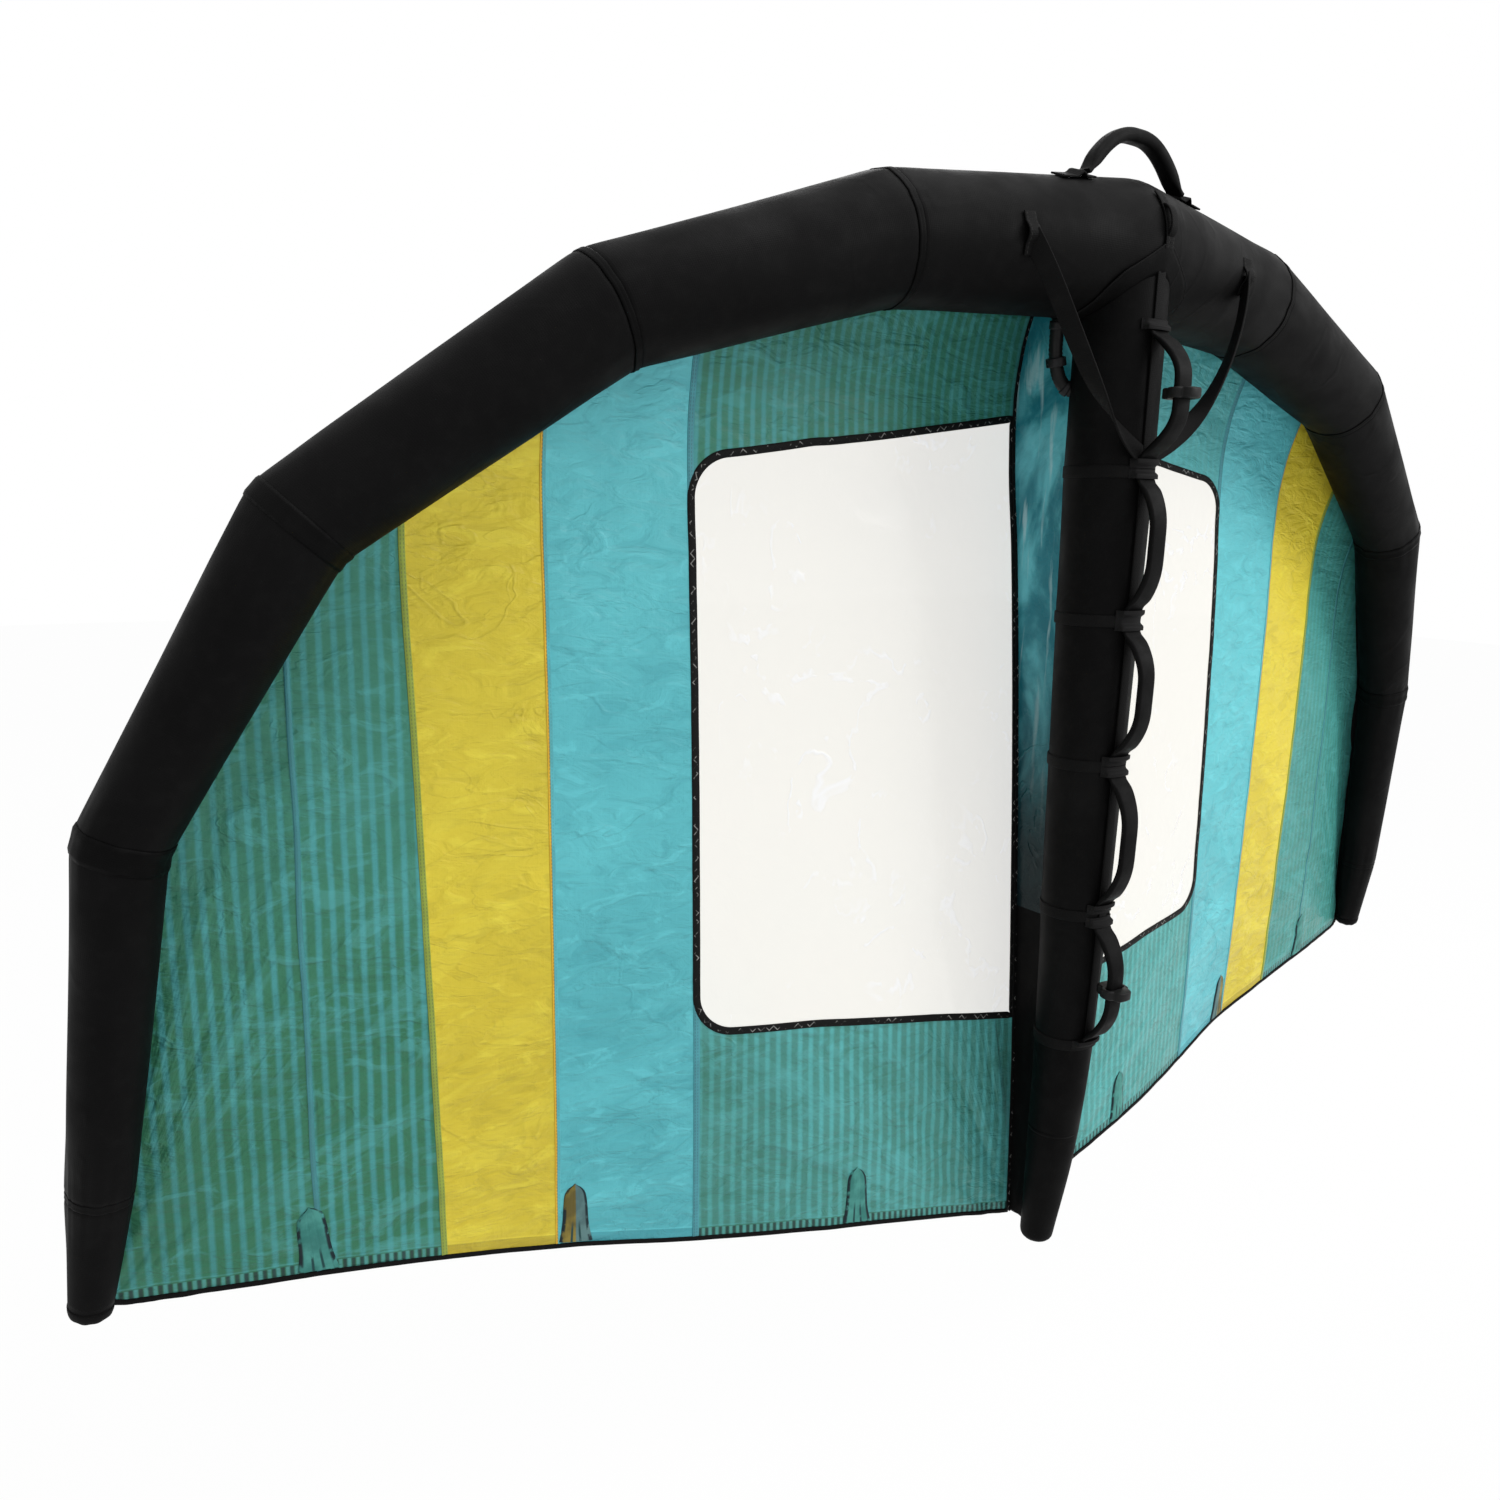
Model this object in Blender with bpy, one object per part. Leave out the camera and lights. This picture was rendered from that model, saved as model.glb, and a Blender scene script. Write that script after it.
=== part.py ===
# Hand-held inflatable wing, upright, hanging from the handle on its leading edge.
# +X runs along the span to the viewer's right, -Y is the side of the handles, and
# +Z points to the leading edge. The origin is where a hand or a hook bears under the
# arch of the front handle. Shapes are written from the middle of the leading-edge tube,
# and one empty lowers them all so that the origin comes to the grip.

import math

import bmesh
import bpy
from mathutils import Vector

# Clearances and cloth
seam_gap = 0.0003
skin_wall = 0.0015
bladder_wall = 0.001
cloth_wall = 0.0012
cut_overrun = 0.02
tube_sides = 16

# Leading-edge tube: places of its seams as shares of the sizes below
half_span = 1.25
tip_rise = 0.25
tip_drop = 1.212
le_radius = 0.087
le_x_shares = (0.0, 0.282, 0.563, 0.812, 0.951, 0.9855, 1.0)
le_y_shares = (0.0, 0.182, 0.317, 0.559, 0.802, 0.927, 1.0)
le_z_shares = (0.0, 0.0202, 0.1142, 0.3002, 0.568, 0.8874, 1.0)
le_radius_shares = (1.0, 0.885, 0.755, 0.648, 0.522, 0.388, 0.265)
canopy_seam_turn_shares = (1.0, 1.0, 1.0, 0.7, 0.2, 0.0, 0.0)
tip_cap_length = 0.014
tip_cap_round_shares = ((0.0, 1.0), (0.55, 0.96), (1.0, 0.72))

# Strut
strut_radius = 0.0585
strut_axis_y = -0.020
strut_length = 1.430
strut_end_shift = 0.026
strut_z_shares = (0.0, 0.198, 0.334, 0.473, 0.624, 0.762, 0.890, 1.0)
strut_radius_shares = (1.0, 0.985, 0.945, 0.880, 0.805, 0.715, 0.590, 0.410)
strut_shift_shares = (0.0, 0.0, 0.0, 0.0, 0.0, 0.05, 0.40, 1.0)
tail_seam_index = 5
tail_round_length = 0.010
tail_round_share = 0.70
strut_bladder_top = 0.100
band_height = 0.016
band_wall = 0.0015
spine_width = 0.015
spine_wall = 0.002

# Canopy: the span coordinate is the share along the trailing edge
te_half_span = 1.222
te_root_y = 0.065
te_root_z = -1.420
te_rise = 0.202
te_lift = 0.188
te_x_shares = (0.0, 0.236, 0.434, 0.573, 0.708, 0.839, 1.0)
te_y_shares = (0.0, 0.144, 0.42, 0.62, 0.70, 0.80, 1.0)
te_z_shares = (0.0, 0.311, 0.48, 0.628, 0.805, 0.926, 1.0)
camber_height = 0.078
camber_shape_shares = (
    (0.0, 0.0), (0.05, 0.55), (0.10, 0.88), (0.15, 1.0), (0.21, 0.95),
    (0.29, 0.78), (0.44, 0.54), (0.65, 0.28), (0.87, 0.07), (1.0, 0.0))
camber_span_shares = (
    (0.0, 1.0), (0.434, 0.64), (0.588, 0.55), (0.708, 0.42), (0.79, 0.34),
    (0.88, 0.18), (0.97, 0.08), (1.0, 0.02))
seam_meet_shares = (
    (0.0, 0.0), (0.434, 0.252), (0.588, 0.344), (0.708, 0.430), (0.79, 0.5),
    (0.88, 0.6667), (0.97, 0.8333), (1.0, 1.0))
window_seam_share = 0.434
band_seam_shares = (0.588, 0.708)
window_top_shares = (
    (0.0, 0.163), (0.10, 0.1735), (0.236, 0.187), (0.28, 0.190), (0.36, 0.185), (0.434, 0.177))
window_bottom_shares = ((0.0, 0.778), (0.236, 0.7745), (0.36, 0.769), (0.434, 0.764))
window_corner_radius = 0.050
window_corner_steps = 4
canopy_end_share = 0.992
slope_step_share = 0.004
row_gap_share = 0.01
te_cord_width = 0.006
te_cord_wall = 0.004

# Batten pockets on the trailing edge
pocket_places_share = (0.236, 0.568, 0.830)
pocket_width = 0.046
pocket_length = 0.088
pocket_wall = 0.003
pocket_edge = 0.004
pocket_round_shares = ((0.0, 1.0), (0.30, 0.78), (0.74, 0.66), (0.92, 0.48), (1.0, 0.24))

# Strut handles: gaps from their sewn ends to the leading edge and the bands, and the
# stand-off of each loop
handle_first_gap = 0.017
handle_top_gaps = (0.005, 0.0085, 0.0095, 0.011)
handle_foot_gaps = (0.013, 0.0115, 0.0115, 0.0145, 0.005)
handle_reaches = (0.039, 0.022, 0.027, 0.025, 0.028)
handle_width = 0.026
handle_wall = 0.008
handle_neck_radius = 0.0055
handle_neck_length = 0.010
handle_full_share = 0.625
handle_grip_share = 0.26
handle_steps = 6
strap_corner_share = 0.45

# Front handle on the leading edge
front_handle_length = 0.176
front_handle_reach = 0.053
front_handle_width = 0.024
front_handle_wall = 0.017
front_handle_neck = 0.0075
front_handle_neck_length = 0.006
front_handle_grip_share = 0.12
front_handle_side_index = 5

# Rings on the first and last strut handles
ring_height = 0.014
ring_wall = 0.009
ring_inner_lug = 0.012
ring_outer_lug = 0.008
ring_lug_share = 0.55
ring_square_share = 1.4

# Brace straps between the leading edge and the strut
brace_top_x = 0.206
brace_foot_gap = 0.001
brace_foot_drop = 0.262
brace_top_pull = (-0.036, -0.034, -0.078)
brace_foot_pull = (0.112, -0.010, 0.047)
brace_width = 0.024
brace_wall = 0.003
brace_steps = 8
brace_face_turn = 56.0

# Leash loop at the middle of the leading edge
leash_turn = 164.0
leash_length = 0.040
leash_reach = 0.010
leash_width = 0.012
leash_wall = 0.0025
leash_steps = 7

# Inflation hose with its clip, and the valve with its cap
hose_radius = 0.009
hose_bore = 0.006
hose_x = -0.070
hose_le_side_index = 12
hose_strut_side_index = 2
hose_strut_drop = 0.178
hose_dip = 0.028
hose_inside = 0.006
clip_length = 0.012
clip_wall = 0.005
valve_x = 0.155
valve_side_index = 13
valve_flange_radius = 0.0145
valve_flange_wall = 0.003
valve_barrel_radius = 0.011
valve_bore = 0.007
valve_height = 0.008
valve_depth = 0.006
cap_radius = 0.0135
cap_wall = 0.004
cap_strap_width = 0.008
cap_strap_reach = 0.0055

# Where the hand bears under the front handle's arch
grip_clearance = 0.001


def lerp(a, b, t):
    return a + (b - a) * t


def table_value(pairs, x):
    """Value of a table of pairs at x, on straight lines between its points."""
    if x <= pairs[0][0]:
        return pairs[0][1]
    for (x0, y0), (x1, y1) in zip(pairs, pairs[1:]):
        if x <= x1:
            return lerp(y0, y1, (x - x0) / (x1 - x0))
    return pairs[-1][1]


def table_place(pairs, y):
    """Place at which a rising table reaches the value y."""
    return table_value([(b, a) for a, b in pairs], y)


# Objects

def clear_scene():
    for item in list(bpy.data.objects):
        bpy.data.objects.remove(item, do_unlink=True)


def make_finish(name, colour, roughness, metallic=0.0, alpha=1.0):
    finish = bpy.data.materials.new(name)
    finish.use_nodes = True
    shader = finish.node_tree.nodes["Principled BSDF"]
    shader.inputs["Base Color"].default_value = (*colour, 1.0)
    shader.inputs["Roughness"].default_value = roughness
    shader.inputs["Metallic"].default_value = metallic
    shader.inputs["Alpha"].default_value = alpha
    finish.diffuse_color = (*colour, alpha)
    return finish


def add_solid(name, verts, faces, finish, pivot=None):
    """Object from points and faces, parented to the wing, with its origin at the pivot."""
    origin = pivot if pivot else Vector((0.0, 0.0, 0.0))
    mesh = bpy.data.meshes.new(name)
    mesh.from_pydata([v - origin for v in verts], [], faces)
    shell = bmesh.new()
    shell.from_mesh(mesh)
    bmesh.ops.recalc_face_normals(shell, faces=shell.faces)
    shell.to_mesh(mesh)
    shell.free()
    mesh.materials.append(finish)
    item = bpy.data.objects.new(name, mesh)
    bpy.context.collection.objects.link(item)
    item.parent = wing
    item.location = origin
    return item


def make_cutter(item):
    item.hide_render = True
    item.display_type = "WIRE"
    return item


def cut(item, cutter):
    step = item.modifiers.new("cut", "BOOLEAN")
    step.operation = "DIFFERENCE"
    step.object = cutter


# Rings and sheets

def join_rings(rings, closed=False):
    """Faces between equal rings in order; closed joins the last ring to the first."""
    verts = [v for ring in rings for v in ring]
    count = len(rings[0])
    faces = []
    last = len(rings) if closed else len(rings) - 1
    for i in range(last):
        j = (i + 1) % len(rings)
        for k in range(count):
            m = (k + 1) % count
            faces.append((i * count + k, i * count + m, j * count + m, j * count + k))
    return verts, faces


def solid_rings(rings):
    """Closed body through the rings, with a flat face on each end."""
    verts, faces = join_rings(rings)
    count = len(rings[0])
    faces.append(tuple(range(count)))
    faces.append(tuple(range(len(verts) - count, len(verts))))
    return verts, faces


def shell_rings(outer, inner):
    """Open tube with a wall: the outer rings one way and the inner rings back."""
    return join_rings(list(outer) + list(reversed(inner)), closed=True)


def sheet_body(near, far):
    """Closed body between two equal grids, both split along the same diagonals."""
    rows = len(near)
    columns = len(near[0])
    verts = [p for row in near for p in row] + [p for row in far for p in row]
    shift = rows * columns
    faces = []
    for r in range(rows - 1):
        for c in range(columns - 1):
            a = r * columns + c
            for half in ((a, a + 1, a + 1 + columns), (a, a + 1 + columns, a + columns)):
                faces.append(half)
                faces.append(tuple(shift + i for i in reversed(half)))
    rim = [c for c in range(columns)]
    rim += [r * columns + columns - 1 for r in range(1, rows)]
    rim += [(rows - 1) * columns + c for c in range(columns - 2, -1, -1)]
    rim += [r * columns for r in range(rows - 2, 0, -1)]
    for a, b in zip(rim, rim[1:] + rim[:1]):
        faces.append((b, a, shift + a, shift + b))
    return verts, faces


def slide_points(points, towards, distance):
    """Points moved by a distance along the lines to their partners."""
    return [p + (q - p).normalized() * distance for p, q in zip(points, towards)]


# Leading edge

def le_node(side, k):
    return Vector((side * half_span * le_x_shares[k], tip_rise * le_y_shares[k],
                   -tip_drop * le_z_shares[k]))


def le_frame(side, k):
    """Directions at a seam: both tube runs, along, back and outward."""
    here = le_node(side, k)
    if k == 0:
        after = (le_node(side, 1) - here).normalized()
        before = (here - le_node(-side, 1)).normalized()
    else:
        before = (here - le_node(side, k - 1)).normalized()
        after = before
        if k + 1 < len(le_x_shares):
            after = (le_node(side, k + 1) - here).normalized()
    along = (before + after).normalized()
    back = Vector((0.0, 1.0, 0.0))
    back = (back - along * back.dot(along)).normalized()
    outward = along.cross(back) * side
    return before, along, back, outward


def le_ring(side, k, inset):
    """Ring of the tube on its mitre plane, its wall moved in by inset."""
    before, _, back, outward = le_frame(side, k)
    centre = le_node(side, k)
    radius = le_radius * le_radius_shares[k] - inset
    ring = []
    for j in range(tube_sides):
        turn = 2.0 * math.pi * j / tube_sides
        ray = back * math.cos(turn) + outward * math.sin(turn)
        reach = radius / math.sqrt(1.0 - ray.dot(before) ** 2)
        ring.append(centre + ray * reach)
    return ring


def le_rings_between(side, k, inset, gap):
    """The two end rings of one panel, drawn in from the seams by half the gap."""
    first = le_ring(side, k, inset)
    last = le_ring(side, k + 1, inset)
    return (slide_points(first, last, gap / 2.0), slide_points(last, first, gap / 2.0))


def le_surface_point(side, share, corner, inset=0.0):
    """Point on the line through one corner of the rings, at a share of the seams."""
    place = share * (len(le_x_shares) - 1)
    k = min(int(place), len(le_x_shares) - 2)
    a = le_ring(side, k, inset)[corner % tube_sides]
    b = le_ring(side, k + 1, inset)[corner % tube_sides]
    return lerp(a, b, place - k)


def canopy_seam_turn(share):
    """How far the canopy's seam is turned from the back corner to the next one."""
    place = share * (len(le_x_shares) - 1)
    k = min(int(place), len(le_x_shares) - 2)
    return lerp(canopy_seam_turn_shares[k], canopy_seam_turn_shares[k + 1], place - k)


def le_facet(x, corner):
    """Centre, outward normal, along and across of the tube's face at x."""
    side = 1.0 if x > 0 else -1.0
    share = abs(x) / (half_span * le_x_shares[1]) / (len(le_x_shares) - 1)
    a = le_surface_point(side, share, corner)
    b = le_surface_point(side, share, corner + 1)
    across = (b - a).normalized()
    ahead = le_surface_point(side, share * 0.5, corner)
    along = (ahead - a).normalized()
    normal = across.cross(along).normalized()
    middle = (a + b) / 2.0
    axis = lerp(le_node(side, 0), le_node(side, 1), share * (len(le_x_shares) - 1))
    if normal.dot(middle - axis) < 0.0:
        normal = -normal
    return middle, normal, along, across


def build_leading_edge():
    for side, word in ((-1.0, "left"), (1.0, "right")):
        for k in range(len(le_x_shares) - 1):
            outer = le_rings_between(side, k, 0.0, seam_gap)
            inner = le_rings_between(side, k, skin_wall, seam_gap)
            verts, faces = shell_rings(outer, inner)
            add_solid(f"le_skin_{word}_{k + 1}", verts, faces, black_cloth)
        last = len(le_x_shares) - 1
        _, along, _, _ = le_frame(side, last)
        centre = le_node(side, last)
        rim = le_ring(side, last, 0.0)
        rings = []
        for reach, shrink in tip_cap_round_shares:
            step = along * (seam_gap + tip_cap_length * reach)
            rings.append([centre + (p - centre) * shrink + step for p in rim])
        verts, faces = solid_rings(rings)
        add_solid(f"le_tip_cap_{word}", verts, faces, black_cloth)


def le_path_rings(inset, first=-6, last=6):
    """Rings from one tip to the other; negative numbers are on the left."""
    rings = []
    for n in range(first, last + 1):
        if n < 0:
            rings.append(le_ring(-1.0, -n, inset))
        else:
            rings.append(le_ring(1.0, n, inset))
    return rings


def build_le_bladder():
    inset = skin_wall + seam_gap
    outer = le_path_rings(inset)
    inner = le_path_rings(inset + bladder_wall)
    inner[0] = slide_points(inner[0], inner[1], bladder_wall)
    inner[-1] = slide_points(inner[-1], inner[-2], bladder_wall)
    add_bag("le_bladder", outer, inner)


def add_bag(name, outer, inner):
    """Bladder: its outer body with its inside cut out."""
    verts, faces = solid_rings(outer)
    bag = add_solid(name, verts, faces, bladder_film)
    verts, faces = solid_rings(inner)
    room = make_cutter(add_solid(name + "_room", verts, faces, bladder_film))
    cut(bag, room)


# Strut

def strut_station(k):
    """Centre and radius of the strut at one station."""
    y = strut_axis_y + strut_end_shift * strut_shift_shares[k]
    return (Vector((0.0, y, -strut_length * strut_z_shares[k])),
            strut_radius * strut_radius_shares[k])


def strut_at(drop):
    """Centre and radius of the strut at a distance below the leading edge's axis."""
    share = drop / strut_length
    radius = strut_radius * table_value(list(zip(strut_z_shares, strut_radius_shares)), share)
    shift = table_value(list(zip(strut_z_shares, strut_shift_shares)), share)
    return Vector((0.0, strut_axis_y + strut_end_shift * shift, -drop)), radius


def strut_ring(centre, radius):
    """Ring with a flat side to the front and one to the back."""
    ring = []
    for j in range(tube_sides):
        turn = 2.0 * math.pi * (j + 0.5) / tube_sides
        ring.append(centre + Vector((math.sin(turn), math.cos(turn), 0.0)) * radius)
    return ring


flat_side_share = math.cos(math.pi / tube_sides)


def strut_flat_y(drop, front, extra=0.0):
    """Y of the strut's front or back flat side at a drop, moved out by extra."""
    centre, radius = strut_at(drop)
    reach = radius * flat_side_share + extra
    return centre.y - reach if front else centre.y + reach


def build_strut():
    rings = [strut_ring(*strut_station(k)) for k in range(tail_seam_index + 1)]
    inner = [strut_ring(c, r - skin_wall)
             for c, r in (strut_station(k) for k in range(tail_seam_index + 1))]
    verts, faces = shell_rings(rings, inner)
    skin = add_solid("strut_skin", verts, faces, black_cloth)
    cut(skin, le_solid)

    last = len(strut_z_shares) - 1
    stations = [strut_station(k) for k in range(tail_seam_index, last + 1)]
    drop = Vector((0.0, 0.0, -seam_gap))
    outer = [strut_ring(c + drop, r) for c, r in stations]
    end_centre, end_radius = stations[-1]
    end = Vector((0.0, 0.0, -tail_round_length))
    outer.append(strut_ring(end_centre + end, end_radius * tail_round_share))
    inside = [strut_ring(c + drop, r - skin_wall) for c, r in stations]
    verts, faces = join_rings(outer + list(reversed(inside)), closed=False)
    count = tube_sides
    start = len(outer) * count
    first_inside = len(verts) - count
    cap_outer = tuple(range(start - count, start))
    cap_inner = tuple(range(start, start + count))
    faces = [f for f in faces if not (max(f) >= start and min(f) < start)]
    faces.append(cap_outer)
    faces.append(cap_inner)
    for k in range(count):
        m = (k + 1) % count
        faces.append((k, m, first_inside + m, first_inside + k))
    add_solid("strut_tail", verts, faces, black_cloth)

    inset = skin_wall + seam_gap
    top = strut_at(strut_bladder_top)
    stations = [top] + [strut_station(k) for k in range(1, last + 1)]
    outer = [strut_ring(c, r - inset) for c, r in stations]
    lift = Vector((0.0, 0.0, skin_wall + bladder_wall))
    outer[-1] = [p + lift for p in outer[-1]]
    inner = [strut_ring(c, r - inset - bladder_wall) for c, r in stations]
    down = Vector((0.0, 0.0, -bladder_wall))
    inner[0] = [p + down for p in inner[0]]
    inner[-1] = [p + lift - down for p in inner[-1]]
    add_bag("strut_bladder", outer, inner)


def build_bands():
    """Bands of webbing sewn round the strut at its seams."""
    for number, k in enumerate(range(1, tail_seam_index + 1)):
        drop = strut_length * strut_z_shares[k]
        rings = []
        for extra in (seam_gap, seam_gap + band_wall):
            pair = []
            for reach in (-band_height / 2.0, 0.0, band_height / 2.0):
                centre, radius = strut_at(drop + reach)
                pair.append(strut_ring(centre, radius + extra / flat_side_share))
            rings.append(pair)
        verts, faces = shell_rings(rings[1], rings[0])
        add_solid(f"strut_band_{number + 1}", verts, faces, black_webbing)


over_band = seam_gap + band_wall + seam_gap


def build_spine():
    """Webbing down the strut's front, over the bands."""
    drops = [0.0] + [strut_length * strut_z_shares[k] for k in range(1, tail_seam_index + 1)]
    drops.append(drops[-1] + band_height / 2.0)
    near, far = [], []
    for drop in drops:
        y = strut_flat_y(drop, True, over_band)
        near.append([Vector((x, y, -drop)) for x in (-spine_width / 2.0, spine_width / 2.0)])
        far.append([p - Vector((0.0, spine_wall, 0.0)) for p in near[-1]])
    verts, faces = sheet_body(near, far)
    spine = add_solid("strut_spine", verts, faces, black_webbing)
    cut(spine, le_solid)


# Canopy

def te_point(side, q):
    """Point of the trailing edge at a share of its half span."""
    y_share = table_value(list(zip(te_x_shares, te_y_shares)), q)
    z_share = table_value(list(zip(te_x_shares, te_z_shares)), q)
    return Vector((side * te_half_span * q, te_root_y + te_rise * y_share,
                   te_root_z + te_lift * z_share))


def seam_share(q):
    return table_value(seam_meet_shares, q)


def canopy_point(side, q, v):
    """Point of the canopy's front face: q along the span and v down the chord."""
    share = seam_share(q)
    turn = canopy_seam_turn(share)
    front = lerp(le_surface_point(side, share, 0, -seam_gap),
                 le_surface_point(side, share, 1, -seam_gap), turn)
    rear = te_point(side, q)
    bulge = camber_height * table_value(camber_span_shares, q)
    back = Vector((0.0, 1.0, 0.0))
    chord = (rear - front).normalized()
    back = (back - chord * back.dot(chord)).normalized()
    return lerp(front, rear, v) + back * (bulge * table_value(camber_shape_shares, v))


def canopy_normal(side, q, v):
    """Direction out of the canopy's back face."""
    q0, q1 = max(0.0, q - slope_step_share), min(1.0, q + slope_step_share)
    v0, v1 = max(0.0, v - slope_step_share), min(1.0, v + slope_step_share)
    across = canopy_point(side, q1, v) - canopy_point(side, q0, v)
    down = canopy_point(side, q, v1) - canopy_point(side, q, v0)
    normal = down.cross(across)
    if q == 0.0:
        normal.x = 0.0
    normal = normal.normalized()
    return normal if normal.y > 0.0 else -normal


def cell_grid(side, columns, rows_of):
    """Grids of the two faces of a panel, drawn in by half a gap at its edges."""
    near = []
    for q in columns:
        near.append([canopy_point(side, q, v) for v in rows_of(q)])
    normals = [[canopy_normal(side, q, v) for v in rows_of(q)] for q in columns]
    half = seam_gap / 2.0
    near[0] = slide_points(near[0], near[1], half)
    near[-1] = slide_points(near[-1], near[-2], half)
    for row in near:
        row[0] = row[0] + (row[1] - row[0]).normalized() * half
        row[-1] = row[-1] + (row[-2] - row[-1]).normalized() * half
    far = [[p + n * cloth_wall for p, n in zip(a, b)] for a, b in zip(near, normals)]
    return near, far


chord_rows = [v for v, _ in camber_shape_shares]
pocket_half_share = pocket_width / 2.0 / te_half_span


def span_columns(first, last):
    """Places across the span: ends, tube seams and the batten pockets' edges."""
    places = {first, last}
    count = len(le_x_shares) - 1
    for k in range(1, count):
        places.add(table_place(seam_meet_shares, k / count))
    for q in pocket_places_share:
        places.add(q - pocket_half_share)
        places.add(q + pocket_half_share)
    for q in te_x_shares:
        if all(abs(q - place) > pocket_half_share for place in pocket_places_share):
            places.add(q)
    kept = sorted(q for q in places if first <= q <= last)
    spaced = [kept[0]]
    for q in kept[1:]:
        if q - spaced[-1] > pocket_half_share:
            spaced.append(q)
        elif q == kept[-1]:
            spaced[-1] = q
    return spaced


def corner_share(q):
    """How far the window's round outer corner has turned in at q, as a length."""
    edge = window_seam_share * te_half_span
    into = q * te_half_span - (edge - window_corner_radius)
    if into <= 0.0:
        return 0.0
    into = min(into, window_corner_radius)
    return window_corner_radius - math.sqrt(window_corner_radius ** 2 - into ** 2)


def chord_length(side, q):
    return (canopy_point(side, q, 1.0) - canopy_point(side, q, 0.0)).length


def window_columns():
    """Places across the window, with steps round its corner."""
    edge = window_seam_share
    reach = window_corner_radius / te_half_span
    plain = [q for q in span_columns(0.0, edge) if q < edge - reach]
    turns = [math.pi / 2.0 * i / window_corner_steps for i in range(window_corner_steps + 1)]
    return plain + [edge - reach + reach * math.sin(t) for t in turns]


def window_edge(side, q, top):
    turned = corner_share(q) / chord_length(side, q)
    if top:
        return table_value(window_top_shares, q) + turned
    return table_value(window_bottom_shares, q) - turned


def spread(first, last, inner):
    return [first] + [v for v in inner if first + row_gap_share < v < last - row_gap_share] + [last]


def row_shares(first, last):
    """Chord rows between two places, as shares of the run between them."""
    rows = spread(first, last, chord_rows)
    return [(v - first) / (last - first) for v in rows]


def add_panel(name, side, columns, rows_of, finish):
    verts, faces = sheet_body(*cell_grid(side, columns, rows_of))
    return add_solid(name, verts, faces, finish)


def build_canopy():
    middle_top = table_value(window_top_shares, 0.0)
    middle_bottom = table_value(window_bottom_shares, 0.0)
    upper_rows = row_shares(0.0, middle_top)
    window_rows = row_shares(middle_top, middle_bottom)
    lower_rows = row_shares(middle_bottom, 1.0)
    for side, word in ((-1.0, "left"), (1.0, "right")):
        columns = window_columns()

        def rows_upper(q, side=side):
            end = window_edge(side, q, True)
            return [end * t for t in upper_rows]

        def rows_window(q, side=side):
            first = window_edge(side, q, True)
            last = window_edge(side, q, False)
            return [lerp(first, last, t) for t in window_rows]

        def rows_lower(q, side=side):
            first = window_edge(side, q, False)
            return [lerp(first, 1.0, t) for t in lower_rows]

        add_panel(f"canopy_upper_{word}", side, columns, rows_upper, striped_cloth)
        add_panel(f"canopy_window_{word}", side, columns, rows_window, window_film)
        add_panel(f"canopy_lower_{word}", side, columns, rows_lower, striped_cloth)

        def rows_whole(_):
            return chord_rows

        inner_edge, outer_edge = band_seam_shares
        add_panel(f"canopy_middle_{word}", side, span_columns(window_seam_share, inner_edge),
                  rows_whole, teal_cloth)
        add_panel(f"canopy_band_{word}", side, span_columns(inner_edge, outer_edge),
                  rows_whole, yellow_cloth)
        add_panel(f"canopy_outer_{word}", side, span_columns(outer_edge, canopy_end_share),
                  rows_whole, striped_cloth)


def build_te_cords():
    """Bound cord along the trailing edge of each half."""
    for side, word in ((-1.0, "left"), (1.0, "right")):
        columns = sorted(set(window_columns()) | set(span_columns(window_seam_share, canopy_end_share)))
        near, far = [], []
        for q in columns:
            edge = canopy_point(side, q, 1.0)
            down = (edge - canopy_point(side, q, 1.0 - row_gap_share)).normalized()
            normal = canopy_normal(side, q, 1.0)
            start = edge + down * seam_gap - normal * (te_cord_wall - cloth_wall) / 2.0
            near.append([start, start + down * te_cord_width])
            far.append([p + normal * te_cord_wall for p in near[-1]])
        half = seam_gap / 2.0
        near[0] = slide_points(near[0], near[1], half)
        far[0] = slide_points(far[0], far[1], half)
        verts, faces = sheet_body(near, far)
        add_solid(f"te_cord_{word}", verts, faces, black_webbing)


def build_pockets():
    """Finger-shaped batten pockets on the front of the canopy at the trailing edge."""
    for side, word in ((-1.0, "left"), (1.0, "right")):
        for number, place in enumerate(pocket_places_share):
            q0, q1 = place - pocket_half_share, place + pocket_half_share
            corners = [[canopy_point(side, q, v) for v in (chord_rows[-2], 1.0)] for q in (q0, q1)]
            normal = canopy_normal(side, place, 1.0)
            length = (corners[0][1] - corners[0][0]).length
            near, far = [], []
            for reach, width in pocket_round_shares:
                v = 1.0 - (pocket_edge + (pocket_length - pocket_edge) * reach) / length
                row = []
                for t in (0.5 - width / 2.0, 0.5 + width / 2.0):
                    point = lerp(lerp(corners[0][0], corners[0][1], v),
                                 lerp(corners[1][0], corners[1][1], v), t)
                    row.append(point - normal * 2.0 * seam_gap)
                near.append(row)
                far.append([p - normal * pocket_wall for p in row])
            verts, faces = sheet_body(near, far)
            add_solid(f"batten_pocket_{word}_{number + 1}", verts, faces, pocket_cloth)


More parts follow.
